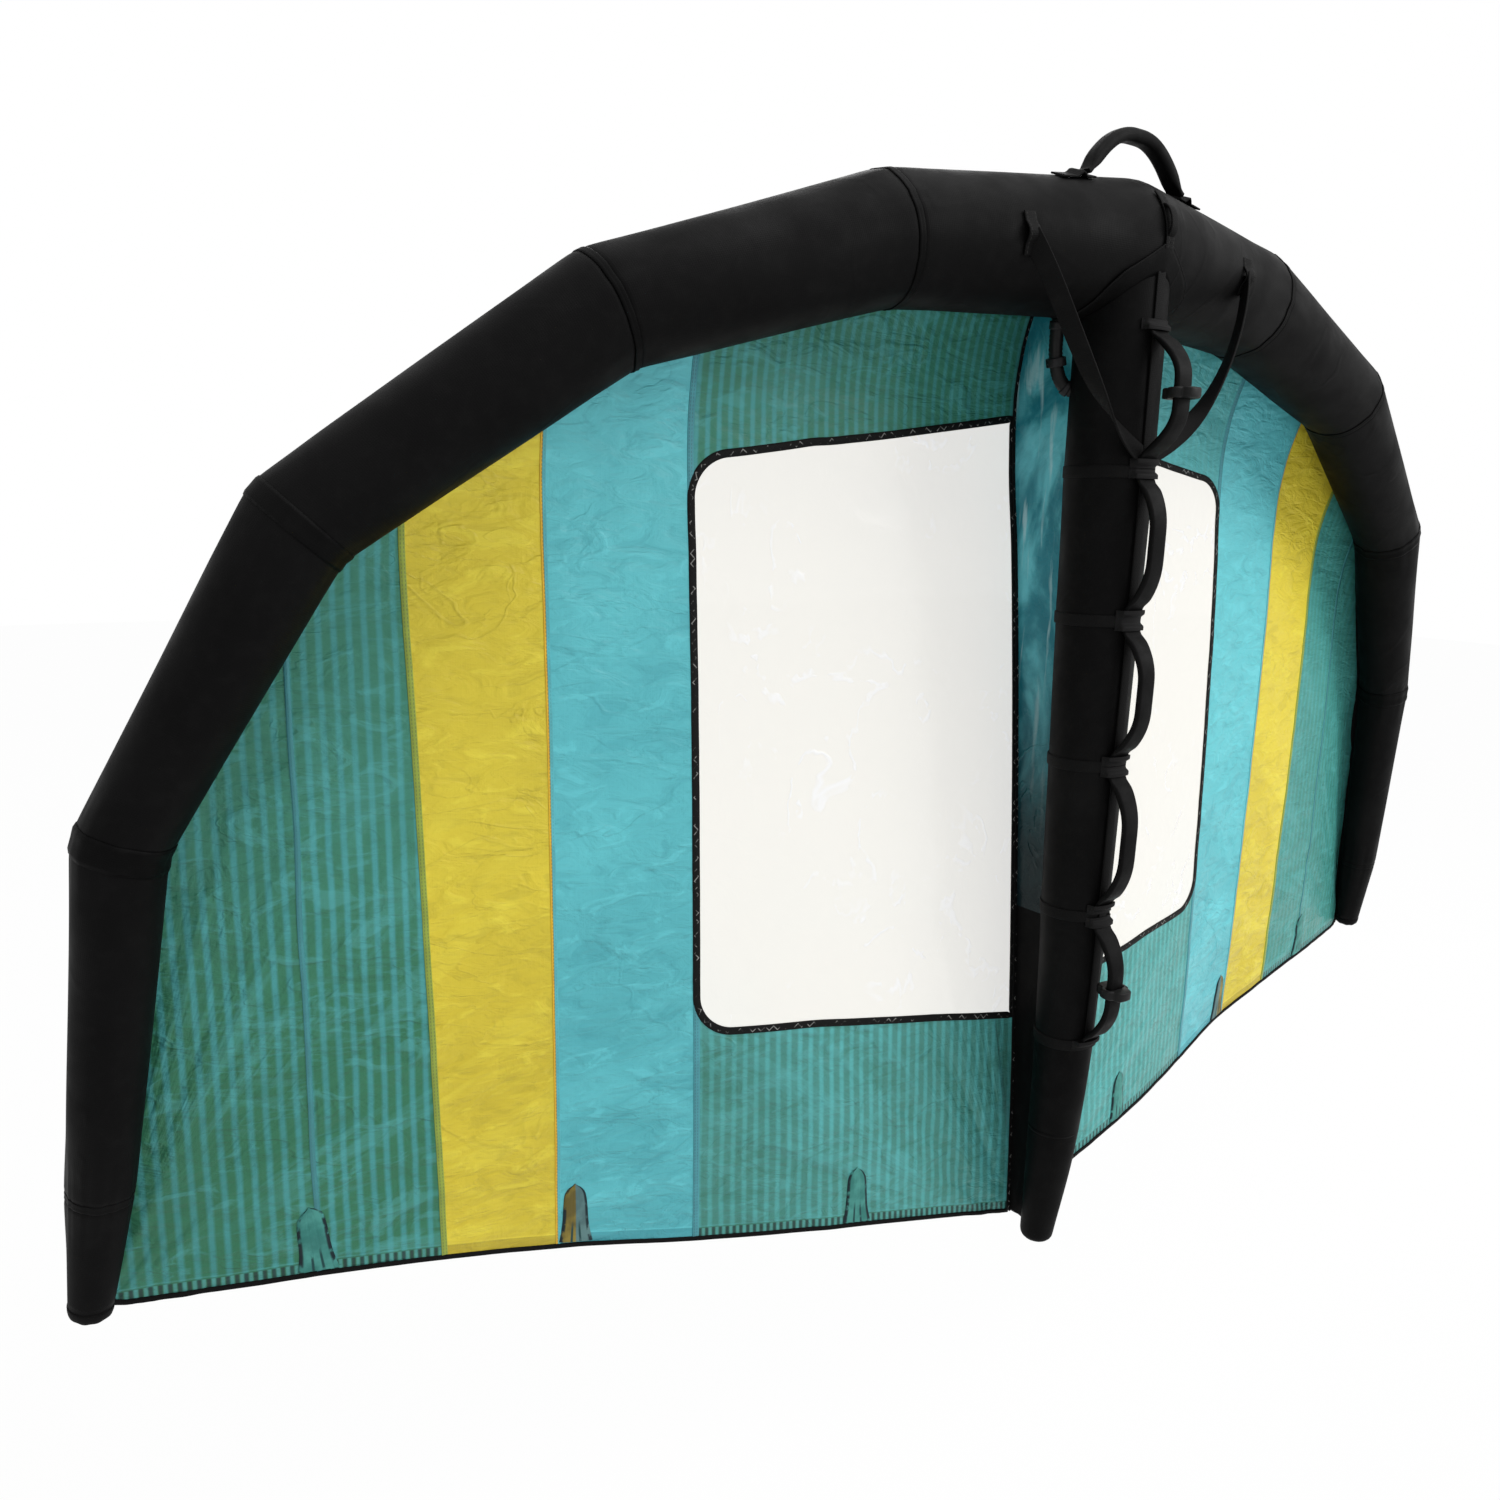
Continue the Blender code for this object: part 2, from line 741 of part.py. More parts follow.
def build_web():
    """Upright cloth between the strut's back and the middle of the canopy."""
    rows = list(chord_rows)
    top = canopy_point(1.0, 0.0, 0.0).z
    foot = canopy_point(1.0, 0.0, 1.0).z
    for share in strut_z_shares[1:-1]:
        rows.append((top + strut_length * share) / (top - foot))
    rows.sort()
    near, far = [], []
    for v in rows:
        edge = canopy_point(1.0, 0.0, v)
        down = (canopy_point(1.0, 0.0, min(1.0, v + row_gap_share))
                - canopy_point(1.0, 0.0, max(0.0, v - row_gap_share)))
        inward = Vector((0.0, -down.z, down.y)).normalized()
        if inward.y > 0.0:
            inward = -inward
        outer = edge + inward * 2.0 * seam_gap
        drop = min(max(-outer.z, 0.0), strut_length)
        inner = Vector((0.0, strut_flat_y(drop, False, over_band), outer.z))
        shift = Vector((cloth_wall / 2.0, 0.0, 0.0))
        near.append([outer - shift, inner - shift])
        far.append([outer + shift, inner + shift])
    verts, faces = sheet_body(near, far)
    web = add_solid("strut_web", verts, faces, teal_cloth)
    cut(web, le_solid)


# Straps and handles

def loop_rings(start, end, out, across, reach, neck, neck_length, grip_share, width, wall):
    """Rings of a sewn loop from start to end that stands off by reach.

    Its ends are round necks on the line from start to end, on which it swings."""
    line = end - start
    length = line.length
    along = line.normalized()
    rise = (length / 2.0 - neck_length) * (1.0 - grip_share)
    stations = [(0.0, 0.0, 0.0), (neck_length, 0.0, 0.0)]
    for i in range(1, handle_steps + 1):
        t = i / handle_steps
        lift = 1.0 - (1.0 - t) ** 2
        stations.append((neck_length + rise * t, reach * lift, min(1.0, t / handle_full_share)))
    stations += [(length - a, b, c) for a, b, c in reversed(stations)]
    points = [start + along * a + out * b for a, b, _ in stations]
    rings = []
    for n, (point, (_, _, fullness)) in enumerate(zip(points, stations)):
        before = points[max(n - 1, 0)]
        after = points[min(n + 1, len(points) - 1)]
        ahead = (after - before).normalized()
        if n in (0, 1, len(points) - 2, len(points) - 1):
            ahead = along
        face = across.cross(ahead).normalized()
        w = lerp(2.0 * neck, width, fullness)
        d = lerp(2.0 * neck, wall, fullness)
        share = lerp(1.0, strap_corner_share, fullness)
        ring = []
        for i in range(8):
            turn = 2.0 * math.pi * (i + 0.5) / 8
            a, b = math.cos(turn), math.sin(turn)
            x = math.copysign(abs(a) ** share, a) * w / 2.0
            y = math.copysign(abs(b) ** share, b) * d / 2.0
            ring.append(point + across * x + face * y)
        rings.append(ring)
    return rings


def handle_line(number):
    """Ends of the line that a strut handle swings on."""
    if number == 0:
        top = le_radius + handle_first_gap
    else:
        top = strut_length * strut_z_shares[number] + handle_top_gaps[number - 1]
    bottom = strut_length * strut_z_shares[number + 1] - handle_foot_gaps[number]
    stand = over_band + spine_wall + seam_gap + handle_neck_radius
    ends = []
    for drop in (top, bottom):
        ends.append(Vector((0.0, strut_flat_y(drop, True, stand), -drop)))
    return ends


def build_handles():
    across = Vector((1.0, 0.0, 0.0))
    for number in range(len(handle_reaches)):
        start, end = handle_line(number)
        along = (end - start).normalized()
        out = along.cross(across).normalized()
        if out.y > 0.0:
            out = -out
        rings = loop_rings(start, end, out, across, handle_reaches[number],
                           handle_neck_radius, handle_neck_length, handle_grip_share,
                           handle_width, handle_wall)
        verts, faces = solid_rings(rings)
        add_solid(f"handle_{number + 1}", verts, faces, black_webbing, pivot=(start + end) / 2.0)


def ring_outline(extra, outer_lug, inner_lug):
    """Outline round a grip: across and outward places, grown by extra, with lugs."""
    points = []
    for i in range(12):
        turn = 2.0 * math.pi * (i + 0.5) / 12
        a, b = math.cos(turn), math.sin(turn)
        x = math.copysign(min(1.0, abs(a) * ring_square_share), a) * (handle_width / 2.0 + extra)
        y = math.copysign(min(1.0, abs(b) * ring_square_share), b) * (handle_wall / 2.0 + extra)
        if i in (2, 3):
            x, y = x * ring_lug_share, y + outer_lug
        if i in (8, 9):
            x, y = x * ring_lug_share, y - inner_lug
        points.append((x, y))
    return points


def build_rings():
    """Rings round the grips of the first and last handles, with a lug on each side."""
    across = Vector((1.0, 0.0, 0.0))
    for number, word in ((0, "front"), (len(handle_reaches) - 1, "rear")):
        start, end = handle_line(number)
        along = (end - start).normalized()
        out = along.cross(across).normalized()
        if out.y > 0.0:
            out = -out
        middle = (start + end) / 2.0 + out * handle_reaches[number]
        outer, inner = [], []
        for reach in (-ring_height / 2.0, ring_height / 2.0):
            base = middle + along * reach
            outer.append([base + across * x + out * y for x, y in
                          ring_outline(ring_wall, ring_outer_lug, ring_inner_lug)])
            inner.append([base + across * x + out * y for x, y in
                          ring_outline(seam_gap, 0.0, 0.0)])
        verts, faces = shell_rings(outer, inner)
        add_solid(f"harness_ring_{word}", verts, faces, ring_rubber, pivot=middle)


def front_handle_line():
    """Line on top of the leading edge that the front handle swings on."""
    run = half_span * le_x_shares[1] * (len(le_x_shares) - 1)
    share = front_handle_length / 2.0 / run
    inner_share = (front_handle_length / 2.0 - front_handle_neck_length) / run
    ends = []
    for side in (-1.0, 1.0):
        point = le_surface_point(side, share, front_handle_side_index)
        point.z = le_surface_point(side, inner_share, front_handle_side_index).z
        ends.append(point + Vector((0.0, 0.0, front_handle_neck + seam_gap)))
    return ends


def build_front_handle():
    start, end = front_handle_line()
    up = Vector((0.0, 0.0, 1.0))
    rings = loop_rings(start, end, up, Vector((0.0, 1.0, 0.0)), front_handle_reach,
                       front_handle_neck, front_handle_neck_length, front_handle_grip_share,
                       front_handle_width, front_handle_wall)
    verts, faces = solid_rings(rings)
    add_solid("front_handle", verts, faces, black_webbing, pivot=(start + end) / 2.0)


def sweep_strap(points, first_width, last_width, width, wall):
    """Rings of a flat strap along points, its width turning from one way to the other."""
    rings = []
    for n, point in enumerate(points):
        before = points[max(n - 1, 0)]
        after = points[min(n + 1, len(points) - 1)]
        ahead = (after - before).normalized()
        way = lerp(first_width, last_width, (n / (len(points) - 1)) ** 2)
        side = (way - ahead * way.dot(ahead)).normalized() * width / 2.0
        if n == len(points) - 1:
            side = last_width * width / 2.0
        face = ahead.cross(side).normalized() * wall / 2.0
        rings.append([point - side - face, point + side - face, point + side + face,
                      point - side + face])
    return rings


def build_braces():
    """Slack straps from the leading edge to the strut's front at the first band."""
    for side, word in ((-1.0, "left"), (1.0, "right")):
        share = brace_top_x / (half_span * le_x_shares[1]) / (len(le_x_shares) - 1)
        start = le_surface_point(side, share, tube_sides // 2, skin_wall)
        stand = seam_gap + brace_wall / 2.0
        end = Vector((side * (spine_width / 2.0 + brace_foot_gap), strut_flat_y(brace_foot_drop, True, stand),
                      -brace_foot_drop))
        top_pull = Vector((side * brace_top_pull[0], brace_top_pull[1], brace_top_pull[2]))
        foot_pull = Vector((side * brace_foot_pull[0], brace_foot_pull[1], brace_foot_pull[2]))
        line = bezier((start, start + top_pull, end + foot_pull, end), brace_steps)
        turn = math.radians(brace_face_turn)
        first = Vector((side * math.cos(turn), math.sin(turn), 0.0))
        rings = sweep_strap(line, first, Vector((0.0, 0.0, 1.0)), brace_width, brace_wall)
        verts, faces = solid_rings(rings)
        strap = add_solid(f"brace_strap_{word}", verts, faces, black_webbing)
        cut(strap, le_solid)


def build_leash_loop():
    """Small webbing loop on the middle of the leading edge, above the strut."""
    turn = math.radians(leash_turn)
    out = Vector((0.0, math.cos(turn), math.sin(turn)))
    across = Vector((1.0, 0.0, 0.0))
    along = out.cross(across).normalized()
    reach = le_radius * flat_side_share
    middle = out * reach
    rings = []
    for i in range(leash_steps + 1):
        t = math.pi * i / leash_steps
        centre = middle - along * math.cos(t) * leash_length / 2.0 + out * math.sin(t) * leash_reach
        ahead = (along * math.sin(t) * leash_length / 2.0 + out * math.cos(t) * leash_reach).normalized()
        face = ahead.cross(across).normalized() * leash_wall / 2.0
        half = across * leash_width / 2.0
        rings.append([centre - half - face, centre + half - face, centre + half + face,
                      centre - half + face])
    verts, faces = solid_rings(rings)
    loop = add_solid("leash_loop", verts, faces, black_webbing)
    cut(loop, le_solid)


# Inflation parts

def bezier(points, steps):
    """Points along a cubic curve through four control points."""
    a, b, c, d = points
    line = []
    for i in range(steps + 1):
        t = i / steps
        u = 1.0 - t
        line.append(a * u ** 3 + b * 3.0 * u * u * t + c * 3.0 * u * t * t + d * t ** 3)
    return line


def sweep_circle(points, radius, sides, first_way, last_way):
    """Rings of a round tube along points, square to the given ways at its ends."""
    rings = []
    hold = Vector((0.0, 1.0, 0.0))
    for n, point in enumerate(points):
        if n == 0:
            ahead = first_way
        elif n == len(points) - 1:
            ahead = last_way
        else:
            ahead = (points[n + 1] - points[n - 1]).normalized()
        hold = (hold - ahead * hold.dot(ahead)).normalized()
        other = ahead.cross(hold)
        ring = []
        for i in range(sides):
            turn = 2.0 * math.pi * i / sides
            ring.append(point + (hold * math.cos(turn) + other * math.sin(turn)) * radius)
        rings.append(ring)
    return rings


def hose_line():
    """Middle line of the hose from inside the leading edge to inside the strut."""
    start, normal, _, _ = le_facet(hose_x, hose_le_side_index)
    centre, radius = strut_at(hose_strut_drop)
    turn = 2.0 * math.pi * (hose_strut_side_index) / tube_sides
    out = Vector((-math.cos(turn), math.sin(turn), 0.0))
    end = centre + out * radius * flat_side_share
    inner_start = start - normal * (hose_inside + skin_wall)
    inner_end = end - out * (hose_inside + skin_wall)
    knee_start = start + normal * hose_dip
    knee_end = end + out * hose_dip
    line = bezier((inner_start, knee_start, knee_end, inner_end), 8)
    return line, normal, -out


def round_cutter(name, points, first_way, last_way, radius):
    verts, faces = solid_rings(sweep_circle(points, radius, 12, first_way, last_way))
    return make_cutter(add_solid(name, verts, faces, black_cloth))


def build_hose():
    line, first_way, last_way = hose_line()
    outer = sweep_circle(line, hose_radius, 10, first_way, last_way)
    inner = sweep_circle(line, hose_bore, 10, first_way, last_way)
    verts, faces = shell_rings(outer, inner)
    add_solid("inflation_hose", verts, faces, hose_rubber)
    cutter = round_cutter("hose_hole", line, first_way, last_way, hose_radius + 2.0 * seam_gap)
    for name in ("le_skin_left_1", "le_bladder", "strut_skin", "strut_bladder"):
        cut(bpy.data.objects[name], cutter)

    middle = line[len(line) // 2]
    ahead = (line[len(line) // 2 + 1] - line[len(line) // 2 - 1]).normalized()
    points = [middle - ahead * clip_length / 2.0, middle + ahead * clip_length / 2.0]
    outer = sweep_circle(points, hose_radius + clip_wall, 8, ahead, ahead)
    verts, faces = solid_rings(outer)
    clip = add_solid("hose_clip", verts, faces, clip_plastic, pivot=middle)
    cut(clip, cutter)


def turned(centre, normal, along, profile, sides):
    """Body turned about the normal: a closed profile of radius and height pairs."""
    other = normal.cross(along).normalized()
    rings = []
    for radius, height in profile:
        ring = []
        for i in range(sides):
            turn = 2.0 * math.pi * (i + 0.5) / sides
            ring.append(centre + normal * height
                        + (along * math.cos(turn) + other * math.sin(turn)) * radius)
        rings.append(ring)
    return join_rings(rings, closed=True)


def build_valve():
    centre, normal, along, across = le_facet(valve_x, valve_side_index)
    low = seam_gap
    top = valve_height
    profile = ((valve_bore, -valve_depth), (valve_barrel_radius, -valve_depth),
               (valve_barrel_radius, low), (valve_flange_radius, low),
               (valve_flange_radius, low + valve_flange_wall),
               (valve_barrel_radius, low + valve_flange_wall),
               (valve_barrel_radius, top), (valve_bore, top))
    verts, faces = turned(centre, normal, along, profile, 12)
    add_solid("inflate_valve", verts, faces, valve_plastic)

    points = [centre - normal * (valve_depth + cut_overrun), centre + normal * cut_overrun]
    cutter = round_cutter("valve_hole", points, normal, normal, valve_barrel_radius + 2.0 * seam_gap)
    for name in ("le_skin_right_1", "le_bladder"):
        cut(bpy.data.objects[name], cutter)

    base = top + seam_gap
    other = normal.cross(along).normalized()
    hinge = centre + normal * (base + cap_wall / 2.0) + along * (cap_radius + cap_strap_reach)
    verts = []
    for height in (base, base + cap_wall):
        ring = []
        for i in range(12):
            turn = 2.0 * math.pi * (i + 0.5) / 12
            point = (along * math.cos(turn) + other * math.sin(turn)) * cap_radius
            if i in (0, 11):
                half = cap_strap_width / 2.0 if i == 0 else -cap_strap_width / 2.0
                point = along * (cap_radius + cap_strap_reach) + other * half
            ring.append(centre + normal * height + point)
        verts.append(ring)
    body, faces = solid_rings(verts)
    add_solid("valve_cap", body, faces, valve_plastic, pivot=hinge)


# Build

clear_scene()
black_cloth = make_finish("black_cloth", (0.012, 0.012, 0.013), 0.62)
black_webbing = make_finish("black_webbing", (0.010, 0.010, 0.011), 0.75)
bladder_film = make_finish("bladder_film", (0.55, 0.58, 0.60), 0.35)
striped_cloth = make_finish("striped_cloth", (0.06, 0.30, 0.22), 0.45)
teal_cloth = make_finish("teal_cloth", (0.09, 0.45, 0.52), 0.45)
yellow_cloth = make_finish("yellow_cloth", (0.72, 0.55, 0.04), 0.45)
window_film = make_finish("window_film", (0.88, 0.88, 0.85), 0.15, alpha=0.6)
pocket_cloth = make_finish("pocket_cloth", (0.04, 0.20, 0.18), 0.55)
ring_rubber = make_finish("ring_rubber", (0.015, 0.015, 0.015), 0.55)
hose_rubber = make_finish("hose_rubber", (0.02, 0.02, 0.02), 0.45)
clip_plastic = make_finish("clip_plastic", (0.03, 0.03, 0.03), 0.40)
valve_plastic = make_finish("valve_plastic", (0.03, 0.03, 0.03), 0.35)

wing = bpy.data.objects.new("wing", None)
bpy.context.collection.objects.link(wing)
grip_start, grip_end = front_handle_line()
grip_height = (grip_start.z + front_handle_reach - front_handle_wall / 2.0 - grip_clearance)
wing.location = (0.0, -grip_start.y, -grip_height)

le_solid_verts, le_solid_faces = solid_rings(le_path_rings(-seam_gap, -1, 1))
le_solid = make_cutter(add_solid("le_solid", le_solid_verts, le_solid_faces, black_cloth))
build_leading_edge()
build_le_bladder()
build_strut()
build_bands()
build_spine()
build_canopy()
build_te_cords()
build_pockets()
build_web()
build_handles()
build_rings()
build_front_handle()
build_braces()
build_leash_loop()
build_hose()
build_valve()
bpy.context.view_layer.update()
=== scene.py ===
"""Dressed model of an inflatable hand-held wing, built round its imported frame."""

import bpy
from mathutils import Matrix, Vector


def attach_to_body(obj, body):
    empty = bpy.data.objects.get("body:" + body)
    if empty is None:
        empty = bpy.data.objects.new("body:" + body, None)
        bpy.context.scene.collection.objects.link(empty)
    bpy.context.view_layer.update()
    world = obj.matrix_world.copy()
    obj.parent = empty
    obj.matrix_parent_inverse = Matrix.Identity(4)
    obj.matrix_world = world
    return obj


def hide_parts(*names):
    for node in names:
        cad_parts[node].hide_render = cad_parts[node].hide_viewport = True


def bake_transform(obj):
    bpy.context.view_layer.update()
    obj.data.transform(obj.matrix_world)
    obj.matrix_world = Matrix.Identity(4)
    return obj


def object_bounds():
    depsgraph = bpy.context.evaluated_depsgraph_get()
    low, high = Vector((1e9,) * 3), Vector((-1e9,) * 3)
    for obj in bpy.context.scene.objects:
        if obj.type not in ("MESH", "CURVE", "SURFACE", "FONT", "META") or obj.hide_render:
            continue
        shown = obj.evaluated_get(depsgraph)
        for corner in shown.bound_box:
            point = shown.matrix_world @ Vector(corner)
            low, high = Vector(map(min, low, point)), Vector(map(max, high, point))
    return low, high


bl_info = {
    "name": "Inflatable Hand-held Wing",
    "version": (1, 0, 0),
    "blender": (4, 5, 0),
    "location": "3D View > Sidebar > Wing",
    "description": "Builds the cloth, tubes, windows and handles of an inflatable wing",
    "category": "Add Mesh",
}

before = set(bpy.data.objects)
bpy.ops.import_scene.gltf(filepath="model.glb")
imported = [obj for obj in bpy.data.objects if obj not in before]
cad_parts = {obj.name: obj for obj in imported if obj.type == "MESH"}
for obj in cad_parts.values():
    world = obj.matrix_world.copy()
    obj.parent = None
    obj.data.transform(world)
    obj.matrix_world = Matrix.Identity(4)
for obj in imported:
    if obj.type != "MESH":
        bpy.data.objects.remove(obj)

import math

import bpy
import numpy as np
from bpy.props import FloatProperty, FloatVectorProperty, PointerProperty
from mathutils import Matrix, Vector, noise

CAD_LOW, CAD_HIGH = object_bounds()

MIRROR = np.array([-1.0, 1.0, 1.0])
RIGHT, BACK, UP = np.eye(3)

# Shapes of the frame, in metres from the middle of the leading edge

HALF_SPAN = 1.25
TIP_RISE = 0.25
TIP_DROP = 1.212
LE_RADIUS = 0.087
LE_X = (0.0, 0.282, 0.563, 0.812, 0.951, 0.9855, 1.0)
LE_Y = (0.0, 0.182, 0.317, 0.559, 0.802, 0.927, 1.0)
LE_Z = (0.0, 0.0202, 0.1142, 0.3002, 0.568, 0.8874, 1.0)
LE_R = (1.0, 0.885, 0.755, 0.648, 0.522, 0.388, 0.265)
SEAM_TURN = (1.0, 1.0, 1.0, 0.7, 0.2, 0.0, 0.0)
SEAMS = len(LE_X) - 1
# The frame's tubes have flat sides: the angle from edge to edge, and how near a flat lies
FRAME_SIDES = 16
CORNER = math.radians(360.0 / FRAME_SIDES)
FLAT = math.cos(math.pi / FRAME_SIDES)
SKIN_WALL = 0.0015
COVER_WALL = 0.0012
SEAM_GAP = 0.0003

# The strut: its Z and R tables are shares of its length and radius at its seams
STRUT_RADIUS = 0.0585
STRUT_AXIS_Y = -0.020
STRUT_LENGTH = 1.430
STRUT_END_SHIFT = 0.026
STRUT_Z = (0.0, 0.198, 0.334, 0.473, 0.624, 0.762, 0.890, 1.0)
STRUT_R = (1.0, 0.985, 0.945, 0.880, 0.805, 0.715, 0.590, 0.410)
STRUT_SHIFT = (0.0, 0.0, 0.0, 0.0, 0.0, 0.05, 0.40, 1.0)
BAND_DROPS = tuple(STRUT_LENGTH * z for z in STRUT_Z[1:6])

# The trailing edge and the canopy: Q is a share of the half span, and the windows' edges are
# shares of the chord
TE_HALF_SPAN = 1.222
TE_ROOT_Y = 0.065
TE_ROOT_Z = -1.420
TE_RISE = 0.202
TE_LIFT = 0.188
TE_X = (0.0, 0.236, 0.434, 0.573, 0.708, 0.839, 1.0)
TE_Y = (0.0, 0.144, 0.42, 0.62, 0.70, 0.80, 1.0)
TE_Z = (0.0, 0.311, 0.48, 0.628, 0.805, 0.926, 1.0)
CAMBER = 0.078
CAMBER_DOWN = (0.0, 0.05, 0.10, 0.15, 0.21, 0.29, 0.44, 0.65, 0.87, 1.0)
CAMBER_SHARE = (0.0, 0.55, 0.88, 1.0, 0.95, 0.78, 0.54, 0.28, 0.07, 0.0)
SPAN_PLACES = (0.0, 0.434, 0.588, 0.708, 0.79, 0.88, 0.97, 1.0)
SPAN_CAMBER = (1.0, 0.64, 0.55, 0.42, 0.34, 0.18, 0.08, 0.02)
SPAN_SEAMS = (0.0, 0.252, 0.344, 0.430, 0.5, 0.6667, 0.8333, 1.0)
WINDOW_Q = 0.434
BAND_Q = (0.588, 0.708)
OUTER_SEAM_X = 1.014
WINDOW_PLACES = (0.0, 0.10, 0.236, 0.28, 0.36, 0.434)
WINDOW_TOP = (0.163, 0.1735, 0.187, 0.190, 0.185, 0.177)
WINDOW_BOTTOM = (0.778, 0.7765, 0.7745, 0.7726, 0.769, 0.764)
WINDOW_CORNER = 0.050
POCKET_Q = (0.236, 0.568, 0.830)
POCKET_WIDTH = 0.046
POCKET_LENGTH = 0.088
POCKET_REACH = (0.0, 0.30, 0.74, 0.92, 1.0)
POCKET_SHAPE = (1.0, 0.78, 0.66, 0.48, 0.0)

# The handles: gaps to the bands above and below them, and how far they stand off
HANDLE_FIRST_GAP = 0.017
HANDLE_TOP_GAPS = (0.005, 0.0085, 0.0095, 0.011)
HANDLE_FOOT_GAPS = (0.013, 0.0115, 0.0115, 0.0145, 0.005)
HANDLE_REACHES = (0.039, 0.022, 0.027, 0.025, 0.028)
NECK_RADIUS = 0.0055
NECK_LENGTH = 0.010
GRIP_SHARE = 0.26

FRONT_HANDLE_LENGTH = 0.176
FRONT_HANDLE_REACH = 0.053
FRONT_HANDLE_NECK = 0.0075
FRONT_HANDLE_NECK_LENGTH = 0.006
FRONT_HANDLE_GRIP_SHARE = 0.12
FRONT_HANDLE_WALL = 0.017
FRONT_HANDLE_CORNER = 5
HANG_GAP = 0.001

OVER_BAND = 0.0021
SPINE_WALL = 0.002
HOSE_X = -0.070
HOSE_DROP = 0.178
VALVE_X = 0.155

# The photograph's camera, as solved from the wing
CAMERA_PLACE = (-1.3238, -1.0979, -0.4638)
CAMERA_RIGHT = (0.8278, -0.5606, 0.0210)
CAMERA_DOWN = (-0.0937, -0.1751, -0.9801)
CAMERA_AHEAD = (0.5531, 0.8094, -0.1975)


# Sizes and colours that a user may change

def length(name, text, value, low, high):
    return FloatProperty(name=name, description=text, default=value, min=low, max=high,
                         unit="LENGTH", subtype="DISTANCE", precision=4)


def colour(name, text, value):
    return FloatVectorProperty(name=name, description=text, default=value, size=3,
                               min=0.0, max=1.0, subtype="COLOR")


class WingSizes(bpy.types.PropertyGroup):
    """Sizes of the cloth and webbing"""
    grid: length("Cloth grid", "Spacing of the canopy's mesh", 0.008, 0.003, 0.05)
    pucker: length("Pucker", "Height of the puckers beside a tube's seams", 0.0011, 0.0, 0.01)
    fold: length("Folds", "Height of the canopy's tension folds", 0.0050, 0.0, 0.02)
    stripe: length("Stripe pitch", "Distance between the canopy's pinstripes",
                   0.0162, 0.004, 0.1)
    binding: length("Window binding", "Width of the tape round the windows",
                    0.0105, 0.004, 0.04)
    hem: length("Hem", "Width of the hem on the trailing edge", 0.014, 0.005, 0.06)
    spine: length("Spine width", "Width of the webbing down the strut", 0.015, 0.008, 0.05)
    handle: length("Handle width", "Width of the strut's handles", 0.0285, 0.015, 0.05)
    leg: length("Handle leg width", "Width of a handle beside its sewn ends", 0.0335, 0.015, 0.06)
    handle_wall: length("Handle thickness", "Thickness of a handle's grip",
                        0.0085, 0.004, 0.02)
    front_handle: length("Front handle width", "Width of the front handle",
                         0.024, 0.015, 0.05)
    front_handle_wall: length("Front handle thickness", "Thickness of the front handle",
                              0.017, 0.006, 0.03)
    brace: length("Brace strap width", "Width of the two slack straps", 0.024, 0.01, 0.05)


class WingColours(bpy.types.PropertyGroup):
    """Colours of the cloth, webbing and plastic"""
    cloth: colour("Tube cloth", "Black cloth of the tubes", (0.0032, 0.0031, 0.0032))
    webbing: colour("Webbing", "Black webbing and straps", (0.0036, 0.0035, 0.0036))
    worn: colour("Worn cloth", "Where black cloth has been rubbed", (0.012, 0.0118, 0.0115))
    teal: colour("Teal cloth", "Plain canopy cloth", (0.127, 0.585, 0.640))
    # Deep teal paints shade in the canopy's folds, creases and crinkle hollows, and darkens the
    # doubled hem
    teal_deep: colour("Deep teal", "Teal in folds and doubled cloth", (0.035, 0.270, 0.330))
    stripe_blue: colour("Stripe", "Paler of the two stripes", (0.068, 0.345, 0.350))
    stripe_green: colour("Green stripe", "Greener of the two stripes", (0.040, 0.208, 0.112))
    yellow: colour("Yellow cloth", "Canopy bands", (0.800, 0.635, 0.044))
    # Deep yellow paints shade in the canopy's folds, creases and crinkle hollows, and darkens the
    # doubled hem
    yellow_deep: colour("Deep yellow", "Yellow in folds and hems", (0.430, 0.330, 0.024))
    film: colour("Window film", "Clear window film", (0.960, 0.905, 0.740))
    film_green: colour("Film tint", "Tint low in the window", (0.840, 0.900, 0.760))
    thread: colour("Thread", "Stitching", (0.500, 0.500, 0.480))
    bladder: colour("Bladder film", "Film of the air bladders", (0.55, 0.58, 0.60))
    rubber: colour("Rubber", "Rings and hose", (0.007, 0.007, 0.007))
    plastic: colour("Plastic", "Clip, valve and cap", (0.010, 0.010, 0.011))


def power(name, where, value):
    return FloatProperty(name=name, description=f"Power of the light {where}", default=value,
                         min=0.0, max=2000.0, unit="POWER")


class WingStage(bpy.types.PropertyGroup):
    """Camera, floor and light"""
    lens: FloatProperty(name="Lens", description="Focal length on a 36 mm sensor",
                        default=28.8, min=10.0, max=200.0, unit="CAMERA")
    floor_gap: length("Floor gap", "Floor below the wing's lowest point", 0.30, 0.0, 3.0)
    key: power("Key light", "beside the camera", 110.0)
    top: power("Top light", "above", 70.0)
    back: power("Back light", "behind", 45.0)
    world: FloatProperty(name="World light", description="Strength of the light all round",
                         default=0.50, min=0.0, max=3.0)


def sizes():
    return bpy.context.scene.wing_sizes


def colours():
    return bpy.context.scene.wing_colours


# Numbers and lines

def unit(v):
    v = np.asarray(v, float)
    return v / np.maximum(np.linalg.norm(v, axis=-1, keepdims=True), 1e-12)


